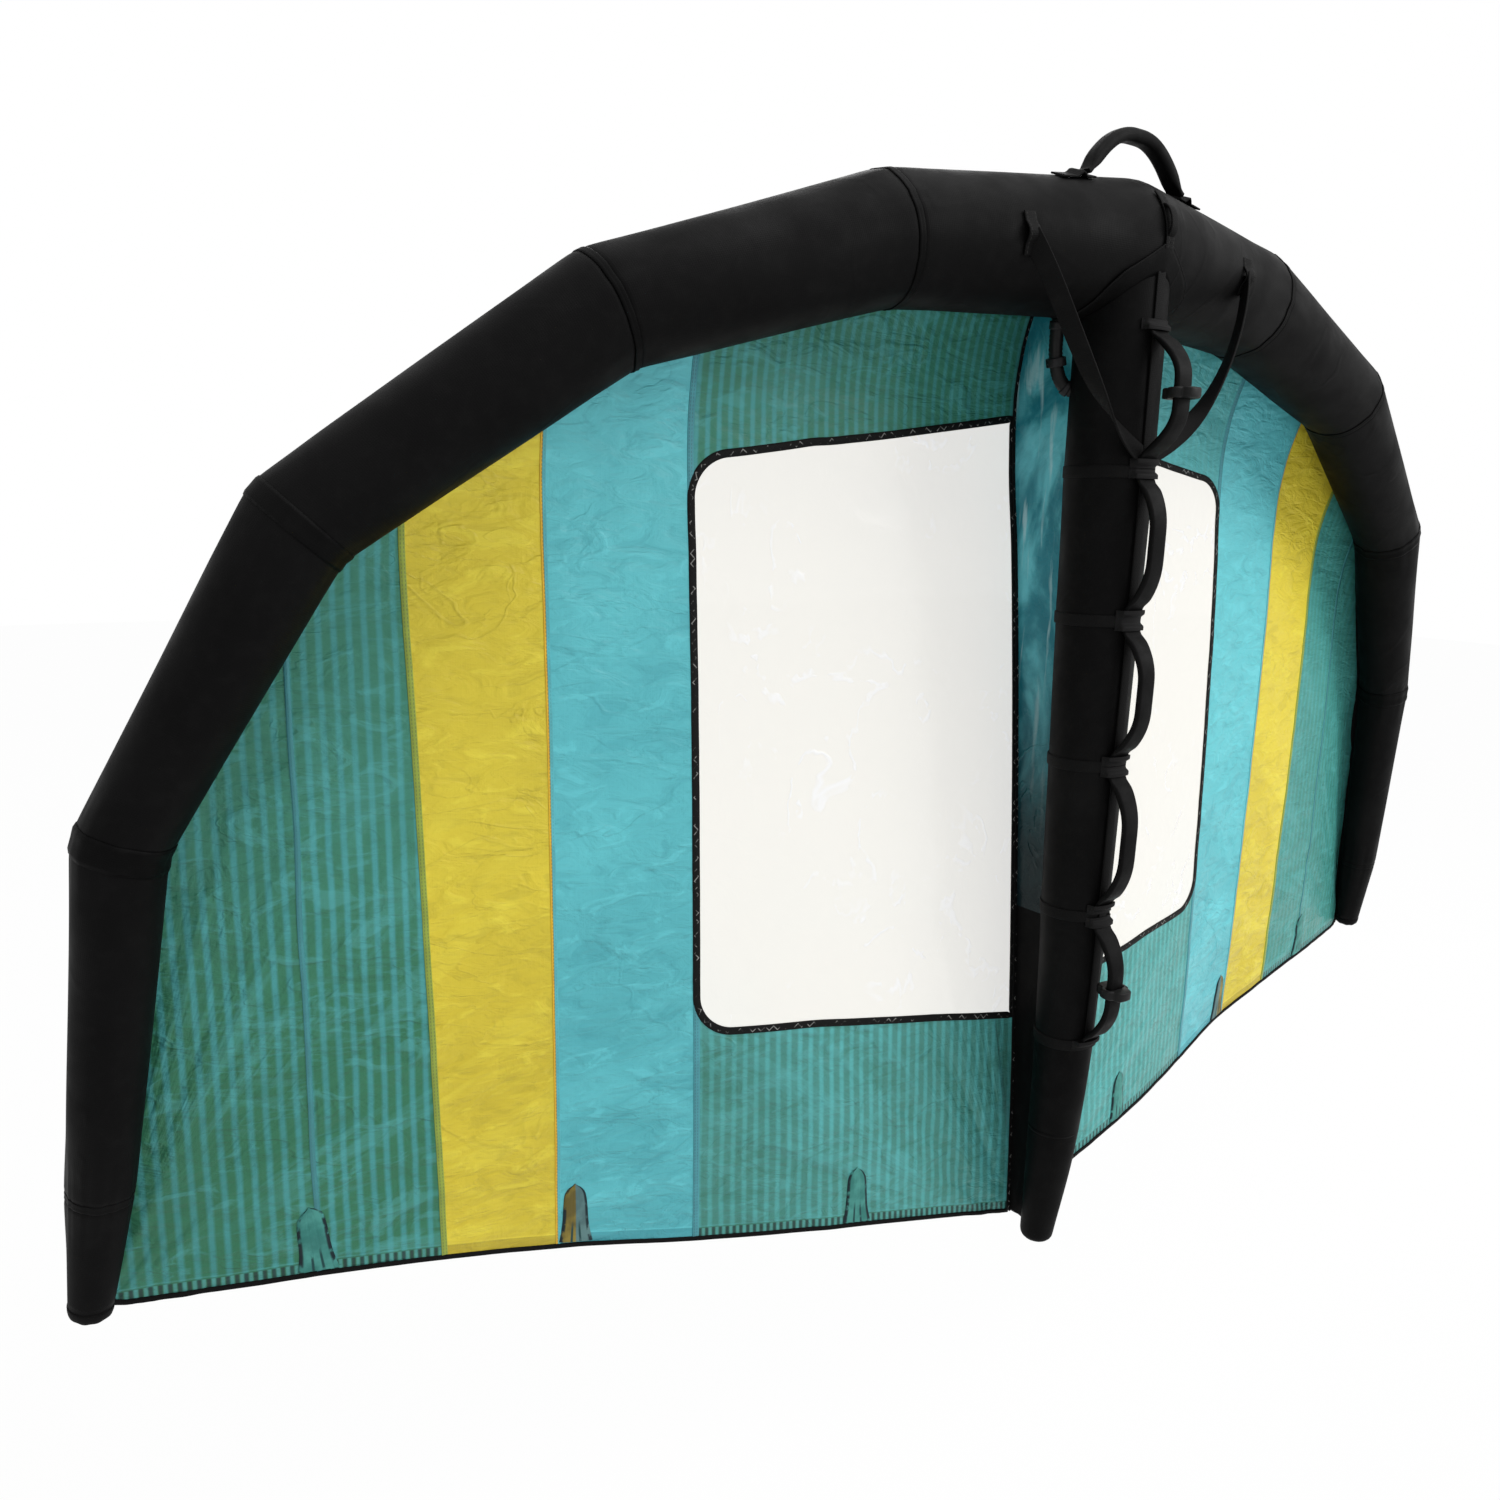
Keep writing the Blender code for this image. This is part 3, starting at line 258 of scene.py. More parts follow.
def smooth_table(xs, ys):
    """Function through a table's points that bends softly and never overshoots."""
    xs, ys = np.asarray(xs, float), np.asarray(ys, float)
    step = np.diff(xs)
    slope = np.diff(ys) / step
    tangent = np.zeros(len(xs))
    for i in range(1, len(xs) - 1):
        if slope[i - 1] * slope[i] > 0.0:
            a = 2.0 * step[i] + step[i - 1]
            b = step[i] + 2.0 * step[i - 1]
            tangent[i] = (a + b) / (a / slope[i - 1] + b / slope[i])
    tangent[0], tangent[-1] = slope[0], slope[-1]

    def value(x):
        x = np.clip(np.asarray(x, float), xs[0], xs[-1])
        i = np.clip(np.searchsorted(xs, x, side="right") - 1, 0, len(xs) - 2)
        h = step[i]
        t = (x - xs[i]) / h
        return ((1 + 2 * t) * (1 - t) ** 2 * ys[i] + t * (1 - t) ** 2 * h * tangent[i]
                + t * t * (3 - 2 * t) * ys[i + 1] + t * t * (t - 1) * h * tangent[i + 1])
    return value


def clamp(x):
    return np.clip(x, 0.0, 1.0)


def mixed(a, b, t):
    return a * (1 - t) + b * t


def bump_shape(x):
    """1 at 0, falling softly to 0 at 1 and beyond."""
    x = clamp(np.abs(x))
    return (1.0 - x * x) ** 2


def turns(sides):
    """Angles of points that stand evenly round a circle."""
    return 2.0 * np.pi * np.arange(sides) / sides


def pair(q, v):
    return np.broadcast_arrays(np.asarray(q, float), np.asarray(v, float))


def swell(x, y, z, seed, octaves=3):
    """Smooth noise of about -1 to 1 at points given by three equal arrays."""
    shape = np.shape(x)
    flat = np.stack([np.ravel(x), np.ravel(y), np.ravel(z)], axis=1)
    out = [noise.fractal(Vector(p) + Vector((seed, 2.0 * seed, 0.5 * seed)), 1.0, 2.0, octaves)
           for p in flat]
    return np.array(out).reshape(shape)


def along_lengths(points):
    """Distance along a line at each of its points."""
    steps = np.linalg.norm(np.diff(points, axis=0), axis=1)
    return np.concatenate([[0.0], np.cumsum(steps)])


def bezier(points, steps):
    a, b, c, d = points
    t = np.linspace(0.0, 1.0, steps + 1)[:, None]
    u = 1.0 - t
    return a * u ** 3 + b * 3 * u * u * t + c * 3 * u * t * t + d * t ** 3


# The leading edge's tube

def le_node(side, k):
    return np.array([side * HALF_SPAN * LE_X[k], TIP_RISE * LE_Y[k], -TIP_DROP * LE_Z[k]])


def le_ring(side, k, inset, sides):
    """Ring on the mitre plane of a seam, from the back corner towards the outside."""
    here = le_node(side, k)
    before = unit(here - (le_node(side, k - 1) if k else le_node(-side, 1)))
    after = unit(le_node(side, k + 1) - here) if k < SEAMS else before
    along = unit(before + after)
    back = unit(BACK - along * BACK.dot(along))
    outward = np.cross(along, back) * side
    turn = turns(sides)[:, None]
    ray = back * np.cos(turn) + outward * np.sin(turn)
    reach = (LE_RADIUS * LE_R[k] - inset) / np.sqrt(1.0 - (ray @ before) ** 2)
    return here + ray * reach[:, None]


def frame_edge(side, corner, share):
    """Point on an edge of the frame's tube, a share of the way to its first seam."""
    a, b = (le_ring(side, k, 0.0, FRAME_SIDES)[corner % FRAME_SIDES] for k in (0, 1))
    return a + (b - a) * share


def both_halves(rings):
    return np.concatenate([rings[:0:-1] * MIRROR, rings])


class Tube:
    """Half of the leading edge as close rings, with softened bends at its seams."""

    def __init__(self, inset, sides, step, soften):
        rings, starts = [], []
        for k in range(SEAMS):
            a, b = le_ring(1.0, k, inset, sides), le_ring(1.0, k + 1, inset, sides)
            run = np.linalg.norm(le_node(1.0, k + 1) - le_node(1.0, k))
            count = max(4, int(round(run / step)))
            starts.append(len(rings))
            rings += [a + (b - a) * (i / count) for i in range(count)]
        starts.append(len(rings))
        rings.append(le_ring(1.0, SEAMS, inset, sides))
        whole = both_halves(np.array(rings))
        ends = 12
        beyond = np.arange(1, ends + 1)[:, None, None]
        padded = np.concatenate([whole[:1] + (whole[:1] - whole[1:2]) * beyond[::-1], whole,
                                 whole[-1:] + (whole[-1:] - whole[-2:-1]) * beyond])
        offsets = np.arange(-ends, ends + 1)
        weights = np.exp(-0.5 * (offsets / (soften / step)) ** 2)
        weights /= weights.sum()
        soft = sum(w * np.roll(padded, -o, axis=0) for w, o in zip(weights, offsets))
        self.rings = soft[ends:-ends][len(rings) - 1:]
        self.centres = self.rings.mean(axis=1)
        self.starts = np.array(starts)
        self.sides = sides
        self.run = along_lengths(self.centres)

    def station(self, share):
        """Place among the rings at a share of the seams, from middle to tip."""
        s = clamp(np.asarray(share, float)) * SEAMS
        k = np.minimum(s.astype(int), SEAMS - 1)
        return self.starts[k] + (s - k) * (self.starts[k + 1] - self.starts[k])

    def station_at_x(self, x):
        return np.interp(abs(x), self.centres[:, 0], np.arange(len(self.rings)))

    def before(self, station):
        """Number of the ring before a place among the rings, and the share past it."""
        station = np.clip(np.asarray(station, float), 0.0, len(self.rings) - 1.0)
        i = np.minimum(station.astype(int), len(self.rings) - 2)
        return i, (station - i)[..., None]

    def point(self, station, turn):
        """Points on the tube at places among the rings and angles from the back."""
        i, t = self.before(station)
        j = np.asarray(turn, float) / (2.0 * np.pi) * self.sides
        j0 = np.floor(j).astype(int)
        u = (j - j0)[..., None]
        j0, j1 = j0 % self.sides, (j0 + 1) % self.sides
        return mixed(mixed(self.rings[i, j0], self.rings[i, j1], u),
                     mixed(self.rings[i + 1, j0], self.rings[i + 1, j1], u), t)

    def off(self, station, turn, lift):
        """Point at a height over the tube's cloth."""
        i, t = self.before(station)
        base = self.point(station, turn)
        return base + unit(base - mixed(self.centres[i], self.centres[i + 1], t)) * lift


TUBE = Tube(0.0, 64, 0.010, 0.011)


# The strut's tube

STRUT_DROPS = [STRUT_LENGTH * z for z in STRUT_Z]
strut_radius_at = smooth_table(STRUT_DROPS, [STRUT_RADIUS * r for r in STRUT_R])
strut_shift_at = smooth_table(STRUT_DROPS, [STRUT_END_SHIFT * s for s in STRUT_SHIFT])


def strut_axis_y(drop):
    return STRUT_AXIS_Y + strut_shift_at(drop)


def frame_strut(drop):
    """The frame's own radius and axis Y, on straight lines between its seams."""
    share = drop / STRUT_LENGTH
    radius = STRUT_RADIUS * np.interp(share, STRUT_Z, STRUT_R)
    return radius, STRUT_AXIS_Y + STRUT_END_SHIFT * np.interp(share, STRUT_Z, STRUT_SHIFT)


# The canopy's surface

te_y = smooth_table(TE_X, [TE_ROOT_Y + TE_RISE * s for s in TE_Y])
te_z = smooth_table(TE_X, [TE_ROOT_Z + TE_LIFT * s for s in TE_Z])
camber_down = smooth_table(CAMBER_DOWN, CAMBER_SHARE)
camber_span = smooth_table(SPAN_PLACES, SPAN_CAMBER)
seam_share = smooth_table(SPAN_PLACES, SPAN_SEAMS)
seam_turn = smooth_table(np.linspace(0.0, 1.0, SEAMS + 1), SEAM_TURN)
window_top = smooth_table(WINDOW_PLACES, WINDOW_TOP)
window_bottom = smooth_table(WINDOW_PLACES, WINDOW_BOTTOM)
pocket_shape = smooth_table(POCKET_REACH, POCKET_SHAPE)


def canopy_front(q):
    """Where the canopy meets the leading edge's tube, on the right half."""
    share = seam_share(q)
    station = TUBE.station(share)
    return TUBE.point(station, CORNER * seam_turn(share))


def canopy_smooth(q, v):
    """The canopy without its folds: q along the span, v down the chord."""
    q, v = pair(q, v)
    front = canopy_front(q)
    rear = np.stack([TE_HALF_SPAN * q, te_y(q), te_z(q)], axis=-1)
    chord = unit(rear - front)
    back = BACK - chord * chord[..., 1:2]
    bulge = CAMBER * camber_span(q) * camber_down(v)
    return front + (rear - front) * v[..., None] + unit(back) * bulge[..., None]


def canopy_slope(q, v):
    """Direction out of the canopy's back face, on the right half."""
    e = 0.003
    q, v = pair(q, v)
    across = (canopy_smooth(np.minimum(q + e, 1.0), v)
              - canopy_smooth(np.maximum(q - e, 0.0), v))
    down = (canopy_smooth(q, np.minimum(v + e, 1.0))
            - canopy_smooth(q, np.maximum(v - e, 0.0)))
    normal = np.cross(down, across)
    normal *= np.where(normal[..., 1:2] < 0.0, -1.0, 1.0)
    return unit(normal)


def chord_length(q):
    ends = canopy_smooth(q, np.ones_like(q)) - canopy_smooth(q, np.zeros_like(q))
    return np.linalg.norm(ends, axis=-1)


def window_edges(q):
    """Chord shares of the window's top and bottom, with its round outer corners."""
    into = np.asarray(q, float) * TE_HALF_SPAN - (WINDOW_Q * TE_HALF_SPAN - WINDOW_CORNER)
    into = np.clip(into, 0.0, WINDOW_CORNER)
    turned = (WINDOW_CORNER - np.sqrt(WINDOW_CORNER ** 2 - into ** 2)) / chord_length(q)
    return window_top(q) + turned, window_bottom(q) - turned


def canopy_folds(side, q, v):
    """How far the cloth stands off its smooth shape, in metres."""
    q, v = pair(q, v)
    x = TE_HALF_SPAN * q
    chord = chord_length(q)
    rear, front = chord * (1.0 - v), chord * v
    seed = 3.1 if side > 0 else 11.7
    depth = sizes().fold
    height = np.zeros(q.shape)
    # Tension folds that fan from the tip and from the strut's end
    for du, dv, rate, stretch, layer, share, fade, start in (
            (TE_HALF_SPAN * 1.02 - x, rear + 0.03, 5.5, 1.3, 0.0, 0.8, 0.95, 0.10),
            (x + 0.02, rear + 0.05, 6.0, 1.6, 4.0, 0.9, 0.60, 0.08)):
        reach = np.hypot(du, dv)
        fan = swell(np.arctan2(dv, du) * rate, reach * stretch, np.full_like(x, layer), seed)
        height += depth * share * fan * bump_shape(reach / fade) * clamp(reach / start)
    # Short folds across the hem and beside the leading edge's seam
    for off, rate, stretch, layer, share, fade in ((rear, 17.0, 2.5, 8.0, 0.55, 0.16),
                                                   (front, 22.0, 3.0, 12.0, 0.50, 0.12)):
        ripple = swell(x * rate, off * stretch, np.full_like(x, layer), seed)
        height += depth * share * ripple * bump_shape(off / fade)
    # Crumples all over, softer on the stiff window film
    crumple = swell(x * 9.0, rear * 9.0, np.full_like(x, 20.0), seed, 4)
    top, bottom = window_edges(q)
    inside = (q < WINDOW_Q) & (v > top) & (v < bottom)
    height += depth * 0.22 * crumple * np.where(inside, 0.6, 1.0)
    # Held smooth where it is sewn down
    hold = clamp(front / 0.012) * clamp(x / 0.02)
    hold *= clamp((TE_HALF_SPAN - x) / 0.01)
    hold *= 0.30 + 0.70 * clamp(rear / 0.06)
    return height * hold


def canopy_place(side, q, v, lift=0.0):
    """Points on the finished canopy; lift moves them towards its back."""
    q, v = pair(q, v)
    height = canopy_folds(side, q, v) + lift
    point = canopy_smooth(q, v) + canopy_slope(q, v) * height[..., None]
    point[..., 0] *= side
    return point


# Making pieces

def front_ends():
    """Line on top of the leading edge that the front handle swings on."""
    ends = []
    for side in (-1.0, 1.0):
        point, inner = (frame_edge(side, FRONT_HANDLE_CORNER,
                                   (FRONT_HANDLE_LENGTH / 2.0 - sewn) / (HALF_SPAN * LE_X[1]))
                        for sewn in (0.0, FRONT_HANDLE_NECK_LENGTH))
        point[2] = inner[2]
        ends.append(point + UP * (FRONT_HANDLE_NECK + SEAM_GAP))
    return ends


def wing_place():
    """Where the middle of the leading edge lies in the frame: it hangs from its grip."""
    _, y, z = front_ends()[1]
    return np.array([0.0, -y, -(z + FRONT_HANDLE_REACH - FRONT_HANDLE_WALL / 2.0 - HANG_GAP)])


WING = wing_place()


def flipped(faces):
    return [face[::-1] for face in faces]


def piece(name, verts, faces, finish, nodes=(), uv=None, sharp=None, flip=False,
          body="wing_body"):
    """A finished piece from points in the wing's own measure, riding on its body if it has one."""
    mesh = bpy.data.meshes.new(name)
    verts = np.asarray(verts, float).reshape(-1, 3) + WING
    mesh.from_pydata(verts.tolist(), [], flipped(faces) if flip else faces)
    mesh.materials.append(finish)
    if uv is not None:
        layer = mesh.uv_layers.new(name="Cloth")
        loops = np.empty(len(mesh.loops), int)
        mesh.loops.foreach_get("vertex_index", loops)
        layer.data.foreach_set("uv", np.asarray(uv, float).reshape(-1, 2)[loops].ravel())
    mesh.shade_smooth()
    if sharp is not None:
        mesh.set_sharp_from_angle(angle=math.radians(sharp))
    mesh.validate()
    mesh.update()
    item = bpy.data.objects.new(name, mesh)
    bpy.context.collection.objects.link(item)
    if body:
        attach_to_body(item, body)
    if nodes:
        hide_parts(*nodes)
    return item


def strip_faces(rows, columns, close_rows=False, close_columns=False, shift=0):
    """Quads of a grid of points, row by row."""
    faces = []
    for r in range(rows if close_rows else rows - 1):
        n = (r + 1) % rows
        for c in range(columns if close_columns else columns - 1):
            m = (c + 1) % columns
            faces.append((shift + r * columns + c, shift + r * columns + m,
                          shift + n * columns + m, shift + n * columns + c))
    return faces


def end_faces(rows, columns, ends=2):
    """Faces that close a tube at both ends, or at the last one alone, or at none."""
    first, last = tuple(range(columns)), tuple(range((rows - 1) * columns, rows * columns))
    return [first[::-1], last][2 - ends:]


def tube_mesh(rings, ends=2):
    """Points, faces and cloth coordinates of a tube through rings, closed at its ends."""
    rings = np.asarray(rings, float)
    rows, columns = rings.shape[:2]
    faces = strip_faces(rows, columns, close_columns=True) + end_faces(rows, columns, ends)
    run = along_lengths(rings.mean(axis=1))
    rim = np.linalg.norm(np.diff(np.concatenate([rings, rings[:, :1]], axis=1), axis=1), axis=2)
    round_ = np.concatenate([np.zeros((rows, 1)), np.cumsum(rim, axis=1)[:, :-1]], axis=1)
    uv = np.stack([np.repeat(run[:, None], columns, axis=1), round_], axis=-1).reshape(-1, 2)
    return rings.reshape(-1, 3), faces, uv


def tube(name, rings, finish, nodes=(), ends=2, wall=None, sharp=None, flip=False,
         body="wing_body"):
    """Piece through rings; a wall gives it the thickness of its cloth, towards its inside."""
    verts, faces, uv = tube_mesh(rings, ends)
    item = piece(name, verts, faces, finish, nodes, uv, sharp, flip, body)
    if wall:
        step = item.modifiers.new("Cloth wall", "SOLIDIFY")
        step.thickness = wall
        step.offset = -1.0
        step.use_even_offset = False
    return item


def cover(name, rings, finish, nodes=(), wall=COVER_WALL, ends=0):
    """Black cloth piece of a tube or cap, open at its ends unless they are counted."""
    return tube(name, rings, finish, nodes, ends, wall)


# A sheet's flat size over its longest mesh lines, and at most over its straight reach
CUT_OVER_LINE = 1.01
CUT_OVER_REACH = 1.06


def flat_size(grid):
    """Estimated width and length of the cloth that a grid was cut from.

    The reach limits it where mesh lines run slantwise: across the windows and bands, and down
    the outer panels, whose area would otherwise be too small a share of width times length."""
    grid = np.asarray(grid, float)
    arcs = (max(float(along_lengths(line)[-1]) for line in np.swapaxes(grid, 0, 1)),
            max(float(along_lengths(line)[-1]) for line in grid))
    flat = grid.reshape(-1, 3) - grid.reshape(-1, 3).mean(axis=0)
    ways = np.linalg.svd(flat, full_matrices=False)[2]
    reaches = sorted(float(np.ptp(flat @ way)) for way in ways[:2])
    if arcs[0] > arcs[1]:
        reaches.reverse()
    return tuple(min(arc * CUT_OVER_LINE, reach * CUT_OVER_REACH)
                 for arc, reach in zip(arcs, reaches))


def sheet(name, grid, finish, nodes, uv, flip=False):
    """Stretched cloth from a grid of points; its flat size is worked out but not kept."""
    item = piece(name, grid, strip_faces(*grid.shape[:2]), finish, nodes, uv, flip=flip)
    flat_size(grid)


def ring_piece(name, rings, finish, body, nodes, sharp=None):
    """Piece whose last ring joins its first."""
    rings = np.array(rings)
    faces = strip_faces(*rings.shape[:2], close_rows=True, close_columns=True)
    piece(name, rings, faces, finish, nodes, sharp=sharp, body=body)


def rounded_section(width, wall, corner, steps=3):
    """Outline of a strap's cross-section with rounded corners."""
    corner = min(corner, width / 2.0 * 0.98, wall / 2.0 * 0.98)
    points = []
    for cx, cy, start in ((1, 1, 0), (-1, 1, 1), (-1, -1, 2), (1, -1, 3)):
        for i in range(steps + 1):
            turn = math.pi / 2.0 * (start + i / steps)
            points.append((cx * (width / 2.0 - corner) + corner * math.cos(turn),
                           cy * (wall / 2.0 - corner) + corner * math.sin(turn)))
    return np.array(points)


def sweep(points, ways, sections):
    """Rings of sections along points: each section's x lies along its way."""
    points = np.asarray(points, float)
    rings = []
    for n, point in enumerate(points):
        ahead = unit(points[min(n + 1, len(points) - 1)] - points[max(n - 1, 0)])
        way = np.asarray(ways[n] if np.ndim(ways) == 2 else ways, float)
        across = unit(way - ahead * way.dot(ahead))
        face = np.cross(ahead, across)
        section = sections[n] if len(np.shape(sections)) == 3 else sections
        rings.append(point + across * section[:, :1] + face * section[:, 1:2])
    return np.array(rings)


def round_section(radius, sides=16):
    turn = turns(sides)
    return np.stack([np.cos(turn), np.sin(turn)], axis=1) * radius


def strap(name, line, way, section, finish, nodes=(), body="wing_body",
          sharp=50):
    """Strap along a line: its section holds its width, thickness and corner radius."""
    rings = sweep(line, way, rounded_section(*section))
    tube(name, rings, finish, nodes, sharp=sharp, body=body)


# Finishes

def shaded(colour, factor, more=0.0):
    return tuple(min(1.0, k * factor + more) for k in colour)


def toward(colour, other, share, factor=1.0):
    """A colour moved a share of the way to a multiple of another."""
    return tuple(a + (factor * b - a) * share for a, b in zip(colour, other))


def add_node(tree, kind, *values, **settings):
    """New node with values or sockets for its inputs, by their place or name."""
    step = tree.nodes.new(f"ShaderNode{kind}")
    for key, value in [*enumerate(values), *settings.items()]:
        socket = step.inputs[key if isinstance(key, int) else key.replace("_", " ")]
        if isinstance(value, bpy.types.NodeSocket):
            tree.links.new(value, socket)
        else:
            socket.default_value = value
    return step


class Finish:
    """A procedural material on one shader, with helpers for its nodes."""

    def __init__(self, name, base, roughness, **settings):
        self.material = bpy.data.materials.new(name)
        self.material.use_nodes = True
        self.tree = self.material.node_tree
        self.shader = self.tree.nodes["Principled BSDF"]
        self.shader.inputs["Base Color"].default_value = (*base, 1.0)
        self.shader.inputs["Roughness"].default_value = roughness
        for socket, value in settings.items():
            self.shader.inputs[socket.replace("_", " ")].default_value = value
        self.material.diffuse_color = (*base, 1.0)
        self.height = None

    def node(self, kind, *values, **settings):
        return add_node(self.tree, kind, *values, **settings)

    def cloth(self):
        """Cloth coordinates in metres, as two sockets."""
        return self.node("SeparateXYZ", self.node("TexCoord").outputs["UV"]).outputs[:2]

    def math(self, operation, *values):
        step = self.node("Math", *values)
        step.operation = operation
        return step.outputs[0]

    def times(self, a, b):
        return self.math("MULTIPLY", a, b)

    def off(self, value, middle):
        """Distance of a value from a middle one."""
        return self.math("ABSOLUTE", self.math("SUBTRACT", value, middle))

    def add(self, *parts):
        total = parts[0]
        for part in parts[1:]:
            total = self.math("ADD", total, part)
        return total

    def ramp(self, value, low, high, first=0.0, last=1.0):
        step = self.node("MapRange", value, From_Min=low, From_Max=high, To_Min=first,
                         To_Max=last)
        step.interpolation_type = "SMOOTHSTEP"
        return step.outputs["Result"]

    def mix(self, share, a, b, scale=None):
        """Colour between two, by a share that may be scaled first."""
        if scale is not None:
            share = self.times(share, scale)
        step = self.tree.nodes.new("ShaderNodeMix")
        step.data_type = "RGBA"
        self.tree.links.new(share, step.inputs["Factor"])
        for socket, value in ((step.inputs[6], a), (step.inputs[7], b)):
            if isinstance(value, bpy.types.NodeSocket):
                self.tree.links.new(value, socket)
            else:
                socket.default_value = (*value, 1.0)
        return step.outputs[2]

    def noise(self, scale, detail=3.0, stretch=None, distortion=0.0, seed=0.0):
        place = self.node("TexCoord").outputs["Object"]
        if stretch or seed:
            place = self.node("Mapping", Scale=stretch or (1.0, 1.0, 1.0), Vector=place,
                              Location=(seed, 0.7 * seed, 1.3 * seed)).outputs[0]
        return self.node("TexNoise", Vector=place, Scale=scale, Detail=detail,
                         Distortion=distortion).outputs["Fac"]

    def patches(self, scale, detail, low, high):
        return self.ramp(self.noise(scale, detail), low, high)

    def wrinkles(self, scale, width, stretch=(1.0, 1.0, 1.0), distortion=0.8, seed=0.0):
        """Thin curved creases in patches: 1 on a crease, 0 elsewhere."""
        off = self.off(self.noise(scale, 3.0, stretch, distortion, seed), 0.5)
        crease = self.ramp(off, 0.0, width, 1.0, 0.0)
        patch = self.ramp(self.noise(scale * 0.6, 2.0, None, 0.0, seed + 9.0), 0.44, 0.60)
        return self.times(crease, patch)

    def fan(self, u, v, at_u, at_v, spread, seed):
        """Folds that fan from one place on the cloth: height from 0 to 1, and a fade."""
        du, dv = self.math("SUBTRACT", u, at_u), self.math("SUBTRACT", v, at_v)
        angle = self.math("ARCTAN2", dv, du)
        reach = self.math("SQRT", self.add(self.times(du, du), self.times(dv, dv)))
        point = self.node("CombineXYZ", self.times(angle, spread), self.times(reach, 2.4), seed)
        step = self.node("TexNoise", Vector=point.outputs[0], Scale=1.0, Detail=4.0)
        fade = self.times(self.ramp(reach, 0.10, 0.30), self.ramp(reach, 0.95, 0.35))
        return step.outputs["Fac"], fade

    def lines(self, value, pitch, share=0.5, soft=0.5):
        """1 on lines that repeat every pitch and take up a share of it."""
        off = self.off(self.math("FRACT", self.math("DIVIDE", value, pitch)), 0.5)
        return self.ramp(off, share / 2.0 - soft / 2.0, share / 2.0 + soft / 2.0, 1.0, 0.0)

    def weave(self, u, v, pitch, share=0.5, soft=0.5):
        return self.add(self.lines(u, pitch, share, soft), self.lines(v, pitch, share, soft))

    def near(self, value, middle, half, soft=0.0004):
        """1 where a length lies within half of the middle."""
        return self.ramp(self.off(value, middle), half - soft, half + soft, 1.0, 0.0)

    def colour_from(self, value):
        self.tree.links.new(value, self.shader.inputs["Base Color"])

    def rough(self, scale, detail, low, high):
        """Roughness that wanders between two values."""
        value = self.ramp(self.noise(scale, detail), 0.3, 0.7, low, high)
        self.tree.links.new(value, self.shader.inputs["Roughness"])

    def bump(self, value, strength, distance):
        step = self.node("Bump", Strength=strength, Distance=distance, Height=value)
        if self.height is not None:
            self.tree.links.new(self.height, step.inputs["Normal"])
        self.height = step.outputs["Normal"]
        self.tree.links.new(self.height, self.shader.inputs["Normal"])


def tube_cloth(name, shade=1.0):
    """Heavy black cloth with a fine weave, faint creases and rubbed patches."""
    c = colours()
    base = shaded(c.cloth, shade)
    f = Finish(name, base, 0.55, Specular_IOR_Level=0.06)
    tone = f.mix(f.patches(5.0, 5.0, 0.50, 0.75), base, c.worn, 0.22)
    f.colour_from(f.mix(f.patches(60.0, 4.0, 0.45, 0.75), tone, c.worn, 0.15))
    f.rough(14.0, 4.0, 0.50, 0.66)
    f.bump(f.weave(*f.cloth(), 0.0024), 0.18, 0.0003)
    f.bump(f.wrinkles(5.0, 0.035), 0.20, 0.0020)
    f.bump(f.noise(22.0, 5.0), 0.30, 0.0020)
    return f.material


def webbing_cloth(name, shade=1.0, width=None):
    """Black webbing with ribs across, and two rows of stitches where a width is given."""
    c = colours()
    base = shaded(c.webbing, shade)
    f = Finish(name, base, 0.62, Specular_IOR_Level=0.07)
    u, v = f.cloth()
    ribs = f.lines(u, 0.0022, 0.55)
    zig = f.lines(f.add(u, v), 0.0044)
    tone = f.mix(ribs, base, c.worn, 0.20)
    tone = f.mix(f.patches(35.0, 4.0, 0.5, 0.8), tone, c.worn, 0.25)
    for edge in (0.16, 0.84) if width else ():
        row = f.times(f.near(v, width * edge, 0.0006), f.lines(u, 0.0052, 0.62, 0.15))
        tone = f.mix(row, tone, shaded(c.thread, 0.12), 0.30)
    f.colour_from(tone)
    f.bump(f.add(ribs, f.times(zig, 0.6)), 0.35, 0.0004)
    f.bump(f.noise(120.0, 3.0), 0.2, 0.0004)
    return f.material


def grip_foam(name):
    """Padded grip: soft dense cloth with a fine nap."""
    c = colours()
    base = shaded(c.webbing, 0.7)
    f = Finish(name, base, 0.52, Specular_IOR_Level=0.07)
    f.colour_from(f.mix(f.patches(26.0, 5.0, 0.45, 0.75), base, c.worn, 0.16))
    f.rough(40.0, 3.0, 0.48, 0.64)
    f.bump(f.weave(*f.cloth(), 0.0016), 0.30, 0.0003)
    f.bump(f.noise(75.0, 4.0), 0.25, 0.0008)
    return f.material


